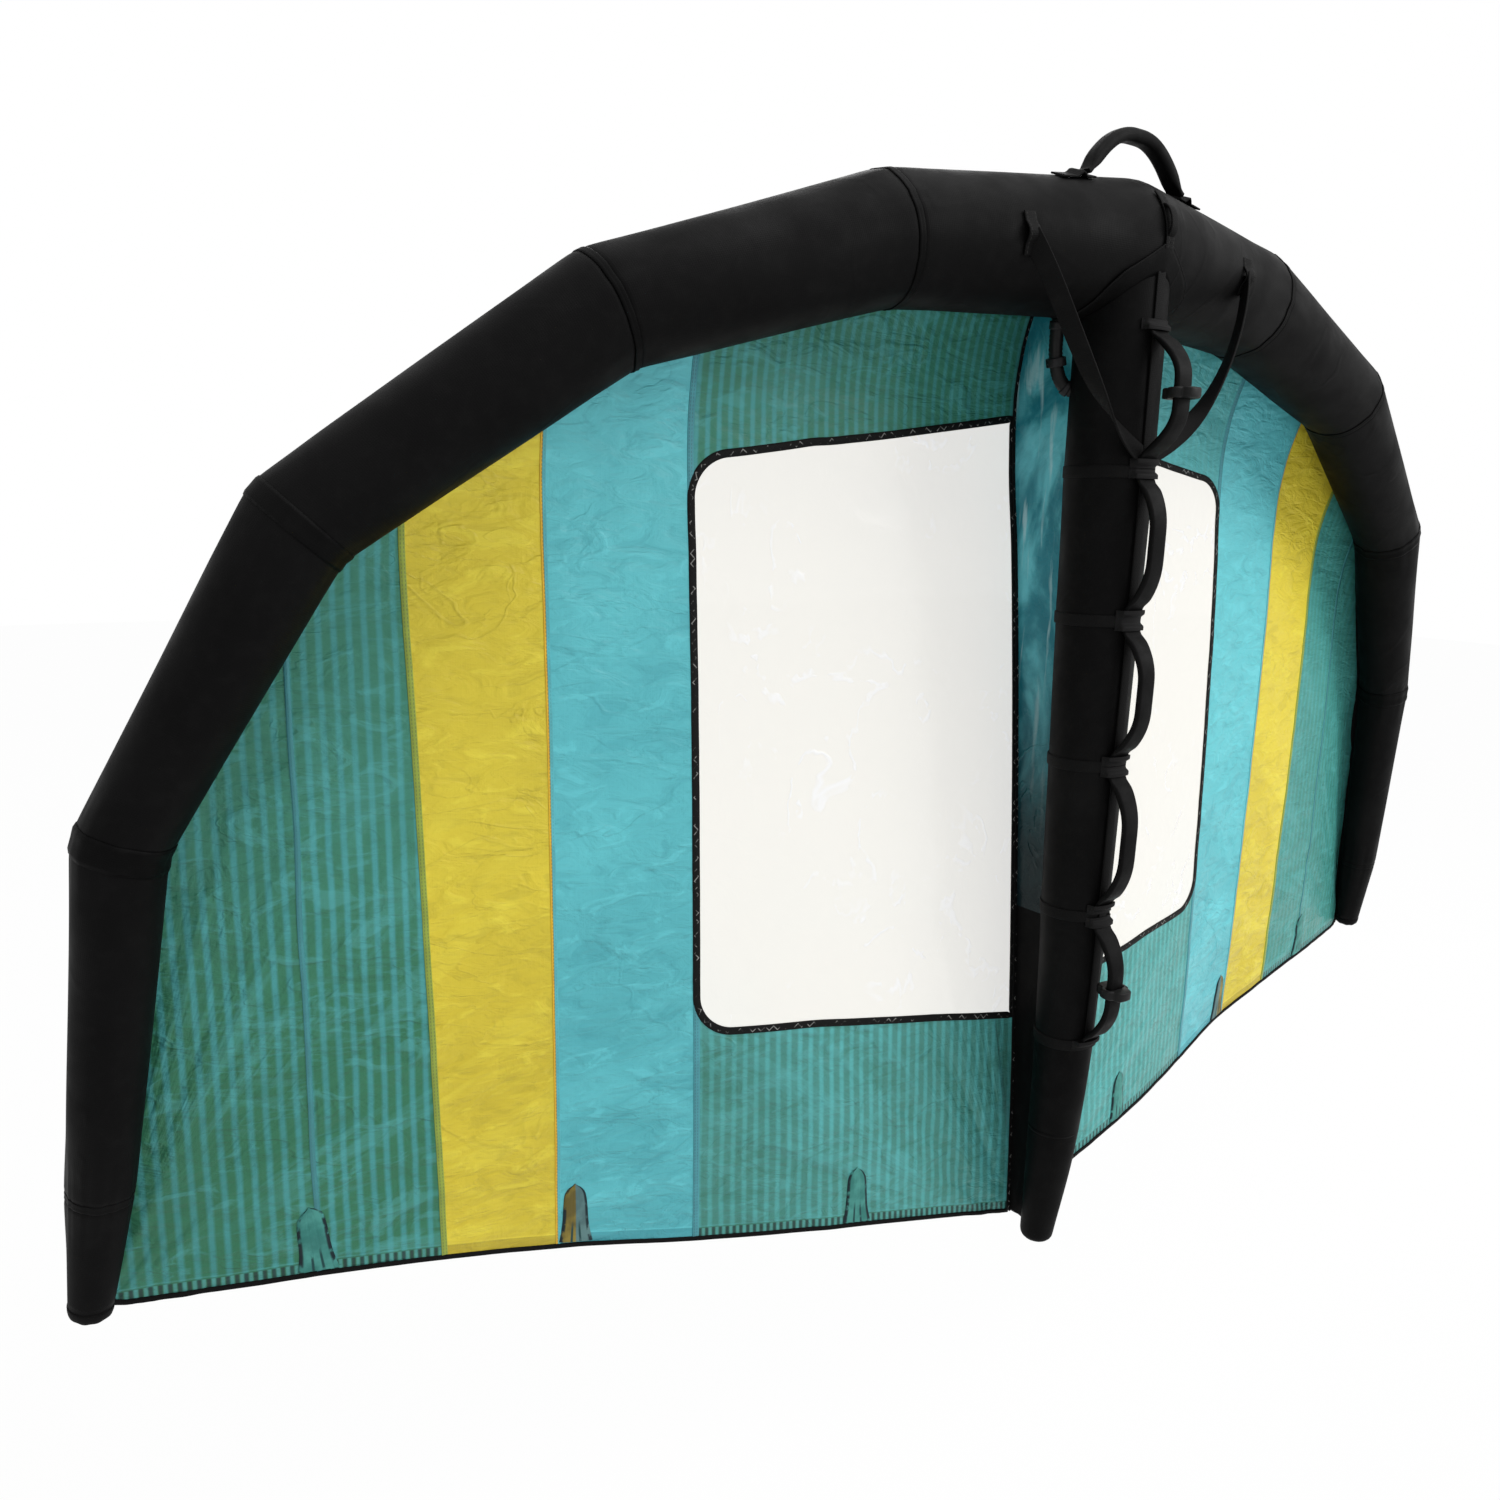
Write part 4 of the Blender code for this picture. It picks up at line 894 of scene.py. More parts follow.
def canopy_tone(f, plain, deep, pale):
    """Crumples, tension folds and the hem's doubled cloth, over a canopy colour, with painted
    highlights on fold crests, streaks and crinkles, painted shade in creases and hollows, and the
    upper cloth painted lighter.
    """
    u, v = f.cloth()
    hem_width = sizes().hem
    crease = f.wrinkles(5.5, 0.016, (0.8, 0.8, 1.5))
    fine = f.wrinkles(12.0, 0.030, (0.7, 0.7, 1.7), 1.2, 4.0)
    streak = f.wrinkles(4.0, 0.045, (0.55, 0.55, 1.6), 0.5, 7.0)
    short = f.wrinkles(16.0, 0.050, (0.45, 0.45, 2.2), 0.9, 13.0)
    soft = f.ramp(f.noise(2.6, 5.0, None, 0.6), 0.36, 0.66)
    # pale is lightened into the colour of the painted highlights; deep gives painted shade and the
    # hem's darker doubled cloth
    pale = shaded(pale, 1.35, 0.03)
    tone = f.mix(soft, plain, deep, 0.30)
    folds = []
    # One fan from the tip's end of the trailing edge, one from the strut's end: their crests get a
    # painted highlight and their troughs painted shade
    for fan in ((1.25, 0.0, 9.0, 3.0), (-0.02, -0.05, 8.0, 5.0)):
        height, fade = f.fan(u, v, *fan)
        folds.append(f.times(f.math("SUBTRACT", height, 0.5), fade))
        tone = f.mix(f.times(f.ramp(height, 0.53, 0.60), fade), tone, pale, 0.24)
        tone = f.mix(f.times(f.ramp(height, 0.47, 0.40), fade), tone, deep, 0.14)
    crinkle = f.noise(30.0, 5.0, (0.60, 0.60, 1.35), 1.0, 17.0)
    hem = f.ramp(v, hem_width - 0.0008, hem_width + 0.0008, 1.0, 0.0)
    lip = f.near(v, hem_width + 0.0012, 0.0010, 0.0008)
    # Painted highlights on the streaks, short crinkles and crinkle crests, painted shade in the
    # creases and crinkle hollows, and painted light that makes the upper cloth lighter; the hem's
    # doubled cloth is darker, with a painted highlight along its top edge
    for share, colour, scale in (
            (streak, pale, 0.16), (short, pale, 0.16), (crease, deep, 0.15), (fine, deep, 0.16),
            (f.ramp(crinkle, 0.56, 0.66), pale, 0.26), (f.ramp(crinkle, 0.44, 0.34), deep, 0.24),
            (f.ramp(v, 0.30, 0.60), pale, 0.13), (hem, deep, 0.55), (lip, pale, 0.22)):
        tone = f.mix(share, tone, colour, scale)
    f.bump(f.add(*folds), 1.0, 0.014)
    f.bump(f.add(crease, f.times(fine, 0.6), f.times(short, -0.5)), 0.45, 0.0018)
    f.bump(f.noise(15.0, 6.0, (0.7, 0.7, 1.5), 1.2), 0.80, 0.0070)
    f.bump(crinkle, 0.90, 0.0060)
    f.bump(f.add(f.weave(u, v, 0.0058, 0.12, 0.10), f.times(hem, 2.0)), 0.20, 0.0003)
    return tone, u, v


def plain_cloth(name, plain, deep):
    f = Finish(name, plain, 0.40, Coat_Weight=0.08, Coat_Roughness=0.22, Specular_IOR_Level=0.30)
    f.colour_from(canopy_tone(f, plain, deep, plain)[0])
    f.rough(13.0, 4.0, 0.34, 0.48)
    return f.material


def striped_cloth(name, even=0.0, fade=0.0):
    """Canopy cloth with fine stripes parallel to the strut; even and fade make paler, plainer
    copies whose stripes are evened out and moved towards teal, as painted light for a brighter
    side.
    """
    c = colours()
    green, blue = c.stripe_green, c.stripe_blue
    f = Finish(name, green, 0.42, Coat_Weight=0.06, Coat_Roughness=0.25, Specular_IOR_Level=0.25)
    u, v = f.cloth()
    both = tuple((a + b) / 2.0 for a, b in zip(green, blue))
    green = toward(toward(green, both, even), c.teal, fade, 0.90)
    blue = toward(toward(blue, both, even), c.teal, fade, 0.95)
    waver = f.times(f.math("SUBTRACT", f.noise(9.0, 3.0), 0.5), 0.004)
    stripe = f.lines(f.add(u, waver), sizes().stripe, 0.40, 0.26)
    # Stripes painted paler towards the lower inner corner: a painted sheen standing in for light
    # on shiny folds
    low = f.times(f.ramp(u, 0.50, 0.62, 1.0, 0.0), f.ramp(v, 0.50, 0.36))
    sheen_green = f.mix(low, green, tuple(0.35 * a + 0.65 * b + 0.02 for a, b in zip(green, blue)))
    sheen_blue = f.mix(low, blue, shaded(blue, 1.35, 0.02))
    tone, u, v = canopy_tone(f, f.mix(stripe, sheen_green, sheen_blue), shaded(green, 0.72), blue)
    # Ticks along the top of the hem
    hem = sizes().hem
    band = f.ramp(v, hem * 0.84, hem * 0.94, 1.0, 0.0)
    ticks = f.times(f.lines(u, 0.0098, 0.42, 0.22), band)
    gaps = f.times(f.math("SUBTRACT", 1.0, f.lines(u, 0.0098, 0.62, 0.22)), band)
    tone = f.mix(gaps, tone, shaded(blue, 1.3, 0.05), 0.45)
    f.colour_from(f.mix(ticks, tone, (0.014, 0.030, 0.032), 0.80))
    f.rough(13.0, 4.0, 0.34, 0.50)
    f.bump(ticks, 0.4, 0.0004)
    return f.material


def window_film(name):
    """Clear film that has yellowed a little, with glossy crumples and painted white glints along
    its creases.
    """
    c = colours()
    f = Finish(name, c.film, 0.12, Alpha=0.36, Coat_Weight=0.5, Coat_Roughness=0.06, IOR=1.45)
    tint = f.times(f.ramp(f.cloth()[1], 0.30, 0.62, 1.0, 0.0), f.patches(2.5, 2.0, 0.40, 0.60))
    tone = f.mix(tint, c.film, c.film_green, 0.35)
    haze = f.ramp(f.noise(3.0, 3.0, (1.0, 1.0, 0.2)), 0.40, 0.62)
    tone = f.mix(haze, tone, (0.86, 0.82, 0.70), 0.12)
    # Broken creases painted white: painted glints
    crease = f.times(f.wrinkles(11.0, 0.030, (1.0, 1.0, 0.8), 0.45, 5.0),
                     f.patches(34.0, 2.0, 0.45, 0.52))
    f.colour_from(f.mix(crease, tone, (1.0, 1.0, 1.0)))
    f.rough(30.0, 3.0, 0.07, 0.20)
    f.bump(crease, 0.6, 0.0016)
    f.bump(f.noise(20.0, 5.0, distortion=1.5), 0.40, 0.0030)
    return f.material


def binding_tape(name, width):
    """Black tape with a zigzag of pale thread down its middle."""
    black = (0.006, 0.006, 0.006)
    f = Finish(name, black, 0.62, Specular_IOR_Level=0.12)
    u, v = f.cloth()
    swing = f.add(f.times(f.math("PINGPONG", u, 0.0062), width * 0.55 / 0.0062), width * 0.22)
    thread = f.ramp(f.off(v, swing), 0.0006, 0.0011, 1.0, 0.0)
    f.colour_from(f.mix(f.times(thread, f.patches(90.0, 2.0, 0.50, 0.64)), black,
                        shaded(colours().thread, 0.55)))
    f.bump(f.lines(u, 0.0018), 0.3, 0.0003)
    f.bump(thread, 0.5, 0.0005)
    return f.material


def rubber(name, base, rough):
    f = Finish(name, base, rough, Specular_IOR_Level=0.16)
    f.colour_from(f.mix(f.patches(45.0, 4.0, 0.45, 0.8), base, shaded(base, 2.0, 0.002), 0.35))
    f.rough(60.0, 3.0, rough - 0.10, rough + 0.10)
    f.bump(f.noise(260.0, 3.0), 0.18, 0.0004)
    return f.material


def seam_tape(name, base, thread=(0.02, 0.05, 0.06)):
    """Lapped canopy seam: cloth on cloth with two rows of stitches."""
    f = Finish(f"seam_{name}", base, 0.48)
    u, v = f.cloth()
    rows = f.add(f.near(v, 0.0022, 0.0005), f.near(v, 0.0058, 0.0005))
    dash = f.times(rows, f.lines(u, 0.0046, 0.60, 0.15))
    tone = f.mix(f.patches(30.0, 4.0, 0.4, 0.7), base, shaded(base, 1.5), 0.4)
    f.colour_from(f.mix(dash, tone, thread, 0.45))
    f.bump(dash, 0.5, 0.0004)
    f.bump(f.noise(40.0, 4.0), 0.3, 0.0010)
    return f.material


def pocket_cloth(name, low, high, split=False):
    """Thin cloth, sewn down along its edges; a split one is amber on its outer half."""
    f = Finish(name, low, 0.5, Specular_IOR_Level=0.2)
    u, v = f.cloth()
    off = f.math("ABSOLUTE", u)
    edge = f.ramp(off, 0.70, 0.84)
    rib = f.near(off, 0.26, 0.07, 0.04)
    breaks = f.patches(70.0, 3.0, 0.36, 0.50)
    cloud = f.patches(46.0, 5.0, 0.35, 0.70)
    body = f.mix(cloud, low, high)
    if split:
        amber = f.mix(cloud, (0.140, 0.110, 0.028), (0.300, 0.230, 0.045))
        body = f.mix(f.ramp(u, -0.04, 0.04), body, amber)
    foot = f.times(f.times(rib, f.ramp(v, 0.42, 0.20)), breaks)
    body = f.mix(foot, body, (0.014, 0.060, 0.062))
    f.colour_from(f.mix(f.times(edge, breaks), body, (0.008, 0.020, 0.026)))
    f.bump(f.noise(60.0, 4.0), 0.4, 0.0012)
    f.bump(f.add(edge, rib), 0.3, 0.0006)
    return f.material


def bladder_film(name):
    f = Finish(name, colours().bladder, 0.30, Coat_Weight=0.3)
    f.colour_from(f.mix(f.patches(8.0, 4.0, 0.4, 0.7), colours().bladder,
                        shaded(colours().bladder, 0.7), 0.35))
    f.bump(f.wrinkles(9.0, 0.03, distortion=1.0, seed=6.0), 0.4, 0.0015)
    f.bump(f.noise(24.0, 4.0), 0.3, 0.0020)
    return f.material


def web_film(name):
    """Glossy teal cloth with crumples, creases painted lighter as highlights and painted glints,
    that turns dark towards the strut's lower end.
    """
    c = colours()
    f = Finish(name, c.teal_deep, 0.24, Specular_IOR_Level=0.18)
    soft = f.ramp(f.noise(11.0, 6.0, (1.0, 1.0, 0.5), 1.4), 0.38, 0.66)
    crease = f.wrinkles(8.0, 0.040, (1.0, 1.0, 0.7), 1.6, 2.0)
    tone = f.mix(soft, (0.020, 0.215, 0.275), (0.150, 0.620, 0.700))
    # Creases painted lighter and short streaks painted pale: painted highlights and glints
    glint = f.ramp(f.noise(48.0, 4.0, (1.0, 1.0, 0.14), 0.3, 21.0), 0.56, 0.68)
    tone = f.mix(crease, tone, c.teal, 0.45)
    tone = f.mix(glint, tone, (0.52, 0.80, 0.84), 0.62)
    down = f.ramp(f.cloth()[1], 0.42, STRUT_LENGTH * 0.60)
    f.colour_from(f.mix(down, tone, (0.006, 0.010, 0.011), 0.97))
    f.rough(30.0, 4.0, 0.16, 0.34)
    f.bump(crease, 0.7, 0.0025)
    f.bump(f.noise(16.0, 5.0, distortion=1.4), 0.7, 0.0060)
    return f.material


# Pieces: the leading edge

SIDES = (-1.0, 1.0)
# Half widths of the lapped cloth over seams 1 to 5: the sharp bends have wide patches
SEAM_BANDS = (0.0045, 0.0045, 0.0115, 0.0150, 0.0045)
# Pairs of reach, as a share of the cap's depth, and radius
TIP_CAP = ((-0.10, 1.002), (0.0, 1.03), (0.10, 1.03), (0.42, 1.005), (0.70, 0.96), (0.88, 0.87),
           (0.97, 0.70), (1.0, 0.35), (1.01, 0.05))
TIP_CAP_DEPTH = 0.0143
TIP_GATHERS = 9.0
BLADDER_GAP, STRUT_BLADDER_GAP = 0.0045, 0.0035
PUCKER_REACH = 0.085
GROOVE_DEPTH, GROOVE_REACH = 0.0009, 0.006
COVER_LIFT, COVER_EDGE_LIFT = 0.0016, 0.0008


def word(side):
    return "left" if side < 0 else "right"


def tube_rings(side):
    """The leading edge's rings with puckers beside each seam."""
    rings = TUBE.rings.copy()
    ray = unit(rings - TUBE.centres[:, None, :])
    run = TUBE.run[:, None]
    turn = turns(TUBE.sides)[None, :]
    seed = 1.0 if side > 0 else 7.0
    height = np.zeros(rings.shape[:2])
    cx, sx = np.cos(turn) + 0 * run, np.sin(turn) + 0 * run
    for k in range(1, SEAMS):
        off = run - TUBE.run[TUBE.starts[k]]
        frills = swell(cx * 3.4, sx * 3.4, 1.6 * off + 0 * cx, seed + 5.0 * k, 2)
        height += sizes().pucker * 1.7 * bump_shape(off / PUCKER_REACH) * frills
        height -= GROOVE_DEPTH * bump_shape(off / GROOVE_REACH)
    height += 0.0013 * swell(run * 3.0 + 0 * cx, cx * 0.9, sx * 0.9, seed + 60.0, 2)
    rings += ray * height[..., None]
    return rings if side > 0 else (rings * MIRROR)[:, ::-1]


class WING_OT_leading_edge(bpy.types.Operator):
    """Build the leading edge's cloth panels, bands over its seams and tip caps"""
    bl_idname = "wing.leading_edge"
    bl_label = "Leading edge"

    def execute(self, context):
        cloth = tube_cloth("tube_cloth")
        dark = tube_cloth("tube_patch_cloth", 0.50)
        for side in SIDES:
            rings = tube_rings(side)
            for k in range(SEAMS):
                cover(f"tube_panel_{word(side)}_{k + 1}",
                      rings[TUBE.starts[k]:TUBE.starts[k + 1] + 1], cloth,
                      [f"le_skin_{word(side)}_{k + 1}"], SKIN_WALL)
            for k, half in enumerate(SEAM_BANDS, 1):
                last = k == len(SEAM_BANDS)
                self.band(f"seam_band_{word(side)}_{k}", rings, TUBE.starts[k], half,
                          0.4 if last else 1.0, cloth if last else dark)
            self.cap(side, rings[-1], unit((rings[-1] - rings[-2]).mean(axis=0)), cloth)
        return {"FINISHED"}

    def band(self, name, rings, middle, half, height, finish):
        """Lapped cloth over a seam, thin at its edges."""
        row = []
        for off in np.linspace(-half, half, 7):
            place = middle + off / np.gradient(TUBE.run)[middle]
            i = int(np.floor(place))
            ring = mixed(rings[i], rings[i + 1], place - i)
            lift = COVER_EDGE_LIFT if abs(off) > half * 0.99 else COVER_LIFT
            row.append(ring + unit(ring - ring.mean(axis=0)) * lift * height)
        cover(name, row, finish)

    def cap(self, side, rim, ahead, finish):
        """Round cloth cap on the tip, gathered to its middle."""
        centre = rim.mean(axis=0)
        row = []
        for reach, shrink in TIP_CAP:
            gather = 0.0006 * np.cos(turns(len(rim)) * TIP_GATHERS) * (1.0 - abs(shrink - 0.6))
            row.append(centre + (rim - centre) * shrink + ahead * TIP_CAP_DEPTH * reach
                       + ahead * gather[:, None])
        cover(f"tip_cap_{word(side)}", row, finish, [f"le_tip_cap_{word(side)}"], SKIN_WALL, 1)


class WING_OT_bladders(bpy.types.Operator):
    """Build the air bladders inside the two tubes"""
    bl_idname = "wing.bladders"
    bl_label = "Bladders"

    def execute(self, context):
        film = bladder_film("bladder_film")
        inner = both_halves(Tube(SKIN_WALL + BLADDER_GAP, 32, 0.02, 0.014).rings)
        strut = [strut_ring(drop, -SKIN_WALL - STRUT_BLADDER_GAP, 32)
                 for drop in np.linspace(0.100, STRUT_LENGTH - 0.004, 60)]
        for name, rings, node in (("tube_bladder", inner, "le_bladder"),
                                  ("inner_strut_bladder", strut, "strut_bladder")):
            first, last = (
                [ring.mean(axis=0) + (ring - ring.mean(axis=0)) * s for s in (0.25, 0.7)]
                for ring in (rings[0], rings[-1]))
            tube(name, [*first, *rings, *last[::-1]], film, [node])
        return {"FINISHED"}


# Pieces: the strut

# Pairs of reach and radius, as a share, of the patch that closes the strut's lower end
STRUT_CAP = ((0.004, 0.97), (0.0075, 0.90), (0.0105, 0.78), (0.0125, 0.60), (0.0138, 0.36),
             (0.0142, 0.10))
# Pairs of place along the strut and height of a band's section
BAND_SECTION = ((-0.0080, 0.0004), (-0.0078, 0.0014), (-0.0070, 0.0019), (-0.0035, 0.0020),
                (0.0, 0.0020), (0.0035, 0.0020), (0.0070, 0.0019), (0.0078, 0.0014),
                (0.0080, 0.0004))
# The collar's lower edge: distance from the middle, and angle round the leading edge
COLLAR_PLACES = (0.0, 0.060, 0.074, 0.0826)
COLLAR_ANGLES = (-179.0, -153.5, -140.0, -105.0)
COLLAR_WIDTH, COLLAR_LIFT, COLLAR_WALL = 0.024, 0.0012, 0.0010
PIPING_RADIUS = 0.0013
STRUT_PUCKER, STRUT_PUCKER_REACH = 0.0008, 0.050
STRUT_SEAM_DROP = STRUT_LENGTH * 0.867
SPINE_LIFT, SPINE_OVER_BAND, SPINE_RAMP = 0.0012, 0.0020, 0.022
WEB_ROWS, WEB_COLUMNS = 150, 14
WEB_WAVE = 0.0018
WEB_CUT_DROP = STRUT_LENGTH * 0.64
WEB_TAPE = (0.012, 0.0012, 0.0005)


def strut_ring(drop, extra, sides=64, pucker=False):
    """Ring of the strut's cloth at a drop, starting at its back."""
    radius = float(strut_radius_at(drop)) + extra
    turn = turns(sides)
    if pucker:
        height = np.zeros(sides)
        for n, seam in enumerate(BAND_DROPS):
            near = float(bump_shape((drop - seam) / STRUT_PUCKER_REACH))
            if near > 0.0:
                height += STRUT_PUCKER * near * swell(
                    np.cos(turn) * 3.0, np.sin(turn) * 3.0,
                    np.full(sides, (drop - seam) * 9.0), 20.0 + n, 2)
        height += 0.0006 * swell(np.cos(turn), np.sin(turn), np.full(sides, drop * 5.0), 44.0, 2)
        radius = radius + height
    y = float(strut_axis_y(drop))
    return np.stack([np.sin(turn) * radius, y + np.cos(turn) * radius,
                     np.full(sides, -drop)], axis=1)


class WING_OT_strut(bpy.types.Operator):
    """Build the strut's cloth, its sewn end, collar, bands and front webbing"""
    bl_idname = "wing.strut"
    bl_label = "Strut"

    def execute(self, context):
        cloth = tube_cloth("strut_cloth", 0.92)
        dark = tube_cloth("strut_patch_cloth", 0.60)
        seam = BAND_DROPS[-1]
        rows = [strut_ring(d, 0.0, pucker=True) for d in [*np.arange(0.018, seam, 0.009), seam]]
        cover("strut_cloth", rows, cloth, ["strut_skin"], SKIN_WALL)
        self.tail(seam, dark)
        self.collar(dark)
        bands = webbing_cloth("band_webbing", 1.1)
        for n, drop in enumerate(BAND_DROPS, 1):
            verts, faces, uv = tube_mesh([strut_ring(drop + a, b) for a, b in BAND_SECTION], 0)
            piece(f"band_{n}", verts, faces, bands, [f"strut_band_{n}"],
                  uv[:, ::-1])
        self.spine()
        return {"FINISHED"}

    def tail(self, seam, finish):
        """Reinforced lower end: tapering, leaning back and closed by a round patch."""
        rows = [strut_ring(d, 0.0006, pucker=True)
                for d in np.linspace(seam, STRUT_LENGTH - 0.008, 44)]
        base = rows[-1]
        centre = base.mean(axis=0)
        rows += [centre + (base - centre) * shrink - UP * reach for reach, shrink in STRUT_CAP]
        cover("strut_end", rows, finish, ["strut_tail"], SKIN_WALL, 1)
        cover("strut_end_seam", [strut_ring(STRUT_SEAM_DROP + off, lift) for off, lift in
                                 ((-0.003, 0.0007), (0.0, 0.0012), (0.003, 0.0007))], finish)

    def collar(self, finish):
        """Patch on the leading edge where the strut is sewn on, with a piped edge."""
        turn = np.linspace(0.0, 2.0 * np.pi, 73)[:-1]
        lip = LE_RADIUS + COLLAR_LIFT

        def ring_at(grow):
            r = STRUT_RADIUS + grow
            y = np.clip(STRUT_AXIS_Y + np.cos(turn) * r, -lip * 0.985, lip * 0.985)
            return np.sin(turn) * r, np.arctan2(-np.sqrt(lip ** 2 - y ** 2), y)
        (x0, a0), (x1, a1) = ring_at(0.0005), ring_at(COLLAR_WIDTH)
        lower = np.radians(np.interp(np.abs(x1), COLLAR_PLACES, COLLAR_ANGLES))
        a1 = np.where(np.cos(turn) < 0.0, lower, a1)
        rows = []
        for share in np.linspace(0.0, 1.0, 6):
            x, a = x0 + (x1 - x0) * share, a0 + (a1 - a0) * share
            rows.append(np.stack([x, np.cos(a) * lip, np.sin(a) * lip], axis=1))
        rows = np.array(rows)
        # The tube leans back, drops and tapers away from its middle
        share = np.abs(rows[..., 0]) / (HALF_SPAN * LE_X[1])
        rows[..., 1] += share * TIP_RISE * LE_Y[1]
        rows[..., 2] = (rows[..., 2] * (1.0 - share * (1.0 - LE_R[1]))
                        - share * TIP_DROP * LE_Z[1])
        cover("strut_collar", rows, finish, wall=COLLAR_WALL)
        edge = np.concatenate([rows[-1], rows[-1][:1]])
        tube("collar_piping", sweep(edge, UP, round_section(PIPING_RADIUS, 8)),
             webbing_cloth("piping", 1.3), ends=0)

    def spine(self):
        """Webbing down the strut's front, pulled over the bands."""
        line = []
        for d in np.arange(0.036, BAND_DROPS[-1] + 0.008, 0.006):
            over = max(float(bump_shape((d - s) / SPINE_RAMP)) for s in BAND_DROPS)
            y = strut_axis_y(d) - strut_radius_at(d) - SPINE_LIFT - SPINE_OVER_BAND * over
            line.append((0.0, float(y), -d))
        strap("spine", line, RIGHT, (sizes().spine, 0.0022, 0.0008),
              webbing_cloth("spine_webbing"), ["strut_spine"])


class WING_OT_web(bpy.types.Operator):
    """Build the upright cloth between the strut and the canopy"""
    bl_idname = "wing.web"
    bl_label = "Web"

    def execute(self, context):
        film, dark = web_film("web_film_cloth"), tube_cloth("web_patch_cloth", 0.8)
        edge = canopy_place(1.0, 0.0, np.linspace(0.0, 1.0, WEB_ROWS))
        edge[:, 1] -= 0.0008
        drop = -edge[:, 2]
        inside = np.clip(drop, 0.0, STRUT_LENGTH)
        inner_y = strut_axis_y(inside) + strut_radius_at(inside) * 0.995
        grid = np.zeros((WEB_ROWS, WEB_COLUMNS, 3))
        for n, t in enumerate(np.linspace(0.0, 1.0, WEB_COLUMNS)):
            wave = WEB_WAVE * math.sin(math.pi * t)
            grid[:, n, 0] = wave * swell(np.full(WEB_ROWS, t * 2.0), edge[:, 2] * 14.0,
                                         np.zeros(WEB_ROWS), 31.0)
            grid[:, n, 1] = mixed(edge[:, 1], inner_y, t)
            grid[:, n, 2] = edge[:, 2]
        uv = np.stack([grid[..., 1], -grid[..., 2]], axis=-1)
        cut_row = int(np.searchsorted(drop, WEB_CUT_DROP))
        for name, rows, finish, nodes in (
                ("web_cloth", slice(0, cut_row + 1), film, ["strut_web"]),
                ("web_patch", slice(cut_row, WEB_ROWS), dark, [])):
            sheet(name, grid[rows], finish, nodes, uv[rows])
        # Dark tape where the web is sewn to the canopy
        strap("web_edge_tape", edge - BACK * 0.0010, RIGHT, WEB_TAPE,
              binding_tape("web_edge_tape", WEB_TAPE[0]))
        return {"FINISHED"}


# Pieces: the canopy

LONGEST_CHORD = 1.30
# Chord shares between which the long seams run
SEAM_FIRST, SEAM_LAST = 0.010, 0.999
ATTACH_WIDTH, ATTACH_LIFT, ATTACH_MIDDLE = 0.028, 0.0024, 0.006
SEAM_LIFT, BINDING_LIFT = 0.0008, 0.0010
CORD_SECTION = (0.0066, 0.0040, 0.0019, 4)
CORD_DROP, CORD_END_REACH = 0.0026, 0.0024
POCKET_ROWS, POCKET_COLUMNS = 30, 17
POCKET_START, POCKET_HUMP = 0.003, 0.0020
POCKET_LIFT, POCKET_UNDER_LIFT = 0.0007, 0.0003
# Half of a tape's section over the canopy: shares of its width and of its lift
TAPE_SECTION = ((-0.5, 0.55), (-0.46, 1.0), (0.0, 1.0), (0.46, 1.0), (0.5, 0.55))


def columns_between(first, last):
    count = max(2, int(math.ceil((last - first) * TE_HALF_SPAN / sizes().grid)) + 1)
    return np.linspace(first, last, count)


def rows_between(share):
    return max(2, int(math.ceil(share * LONGEST_CHORD / sizes().grid)) + 1)


def canopy_grid(side, q, top, bottom, rows):
    """Points and cloth coordinates of one canopy panel between two edges."""
    t = np.linspace(0.0, 1.0, rows)[None, :]
    v = top[:, None] + (bottom - top)[:, None] * t
    qs = np.repeat(q[:, None], rows, axis=1)
    points = canopy_place(side, qs, v)
    chord = chord_length(q)[:, None]
    uv = np.stack([np.abs(points[..., 0]), (1.0 - v) * chord], axis=-1)
    return points, uv


class WING_OT_canopy(bpy.types.Operator):
    """Build the canopy's cloth panels and windows, cut from one curved sheet"""
    bl_idname = "wing.canopy"
    bl_label = "Canopy"

    def execute(self, context):
        c = colours()
        striped = striped_cloth("striped_cloth")
        # The right half's striped cloth is painted light: copies with evened, paler stripes stand
        # in for the brighter light and grazing view on that side
        faint = striped_cloth("striped_cloth_faint", 0.50, 0.16)
        lit_paled = striped_cloth("striped_cloth_faded", 0.55, 0.60)
        teal = plain_cloth("teal_cloth", c.teal, c.teal_deep)
        yellow = plain_cloth("yellow_cloth", c.yellow, c.yellow_deep)
        film = window_film("window_film")
        for side in SIDES:
            inner, above = (striped, striped) if side < 0 else (faint, lit_paled)
            q = np.unique(np.concatenate([columns_between(0.0, WINDOW_Q), np.linspace(
                WINDOW_Q - WINDOW_CORNER / TE_HALF_SPAN, WINDOW_Q, 18)]))
            top, bottom = window_edges(q)
            self.panel(side, "upper", q, 0.0, top, above, "striped_cloth")
            self.panel(side, "window", q, top, bottom, film, "window_film")
            self.panel(side, "lower", q, bottom, 1.0, inner, "striped_cloth")
            for name, first, last, finish, slot in (
                    ("middle", WINDOW_Q, BAND_Q[0], teal, "teal_cloth"),
                    ("band", BAND_Q[0], BAND_Q[1], yellow, "yellow_cloth"),
                    ("outer", BAND_Q[1], 1.0, inner, "striped_cloth")):
                self.panel(side, name, columns_between(first, last), 0.0, 1.0, finish, slot)
        return {"FINISHED"}

    def panel(self, side, name, q, top, bottom, finish, slot):
        top, bottom = np.broadcast_to(top, q.shape), np.broadcast_to(bottom, q.shape)
        rows = rows_between(float(np.max(bottom - top)))
        points, uv = canopy_grid(side, q, top, bottom, rows)
        sheet(f"cloth_{name}_{word(side)}", points, finish,
              [f"canopy_{name}_{word(side)}"], uv, side < 0)


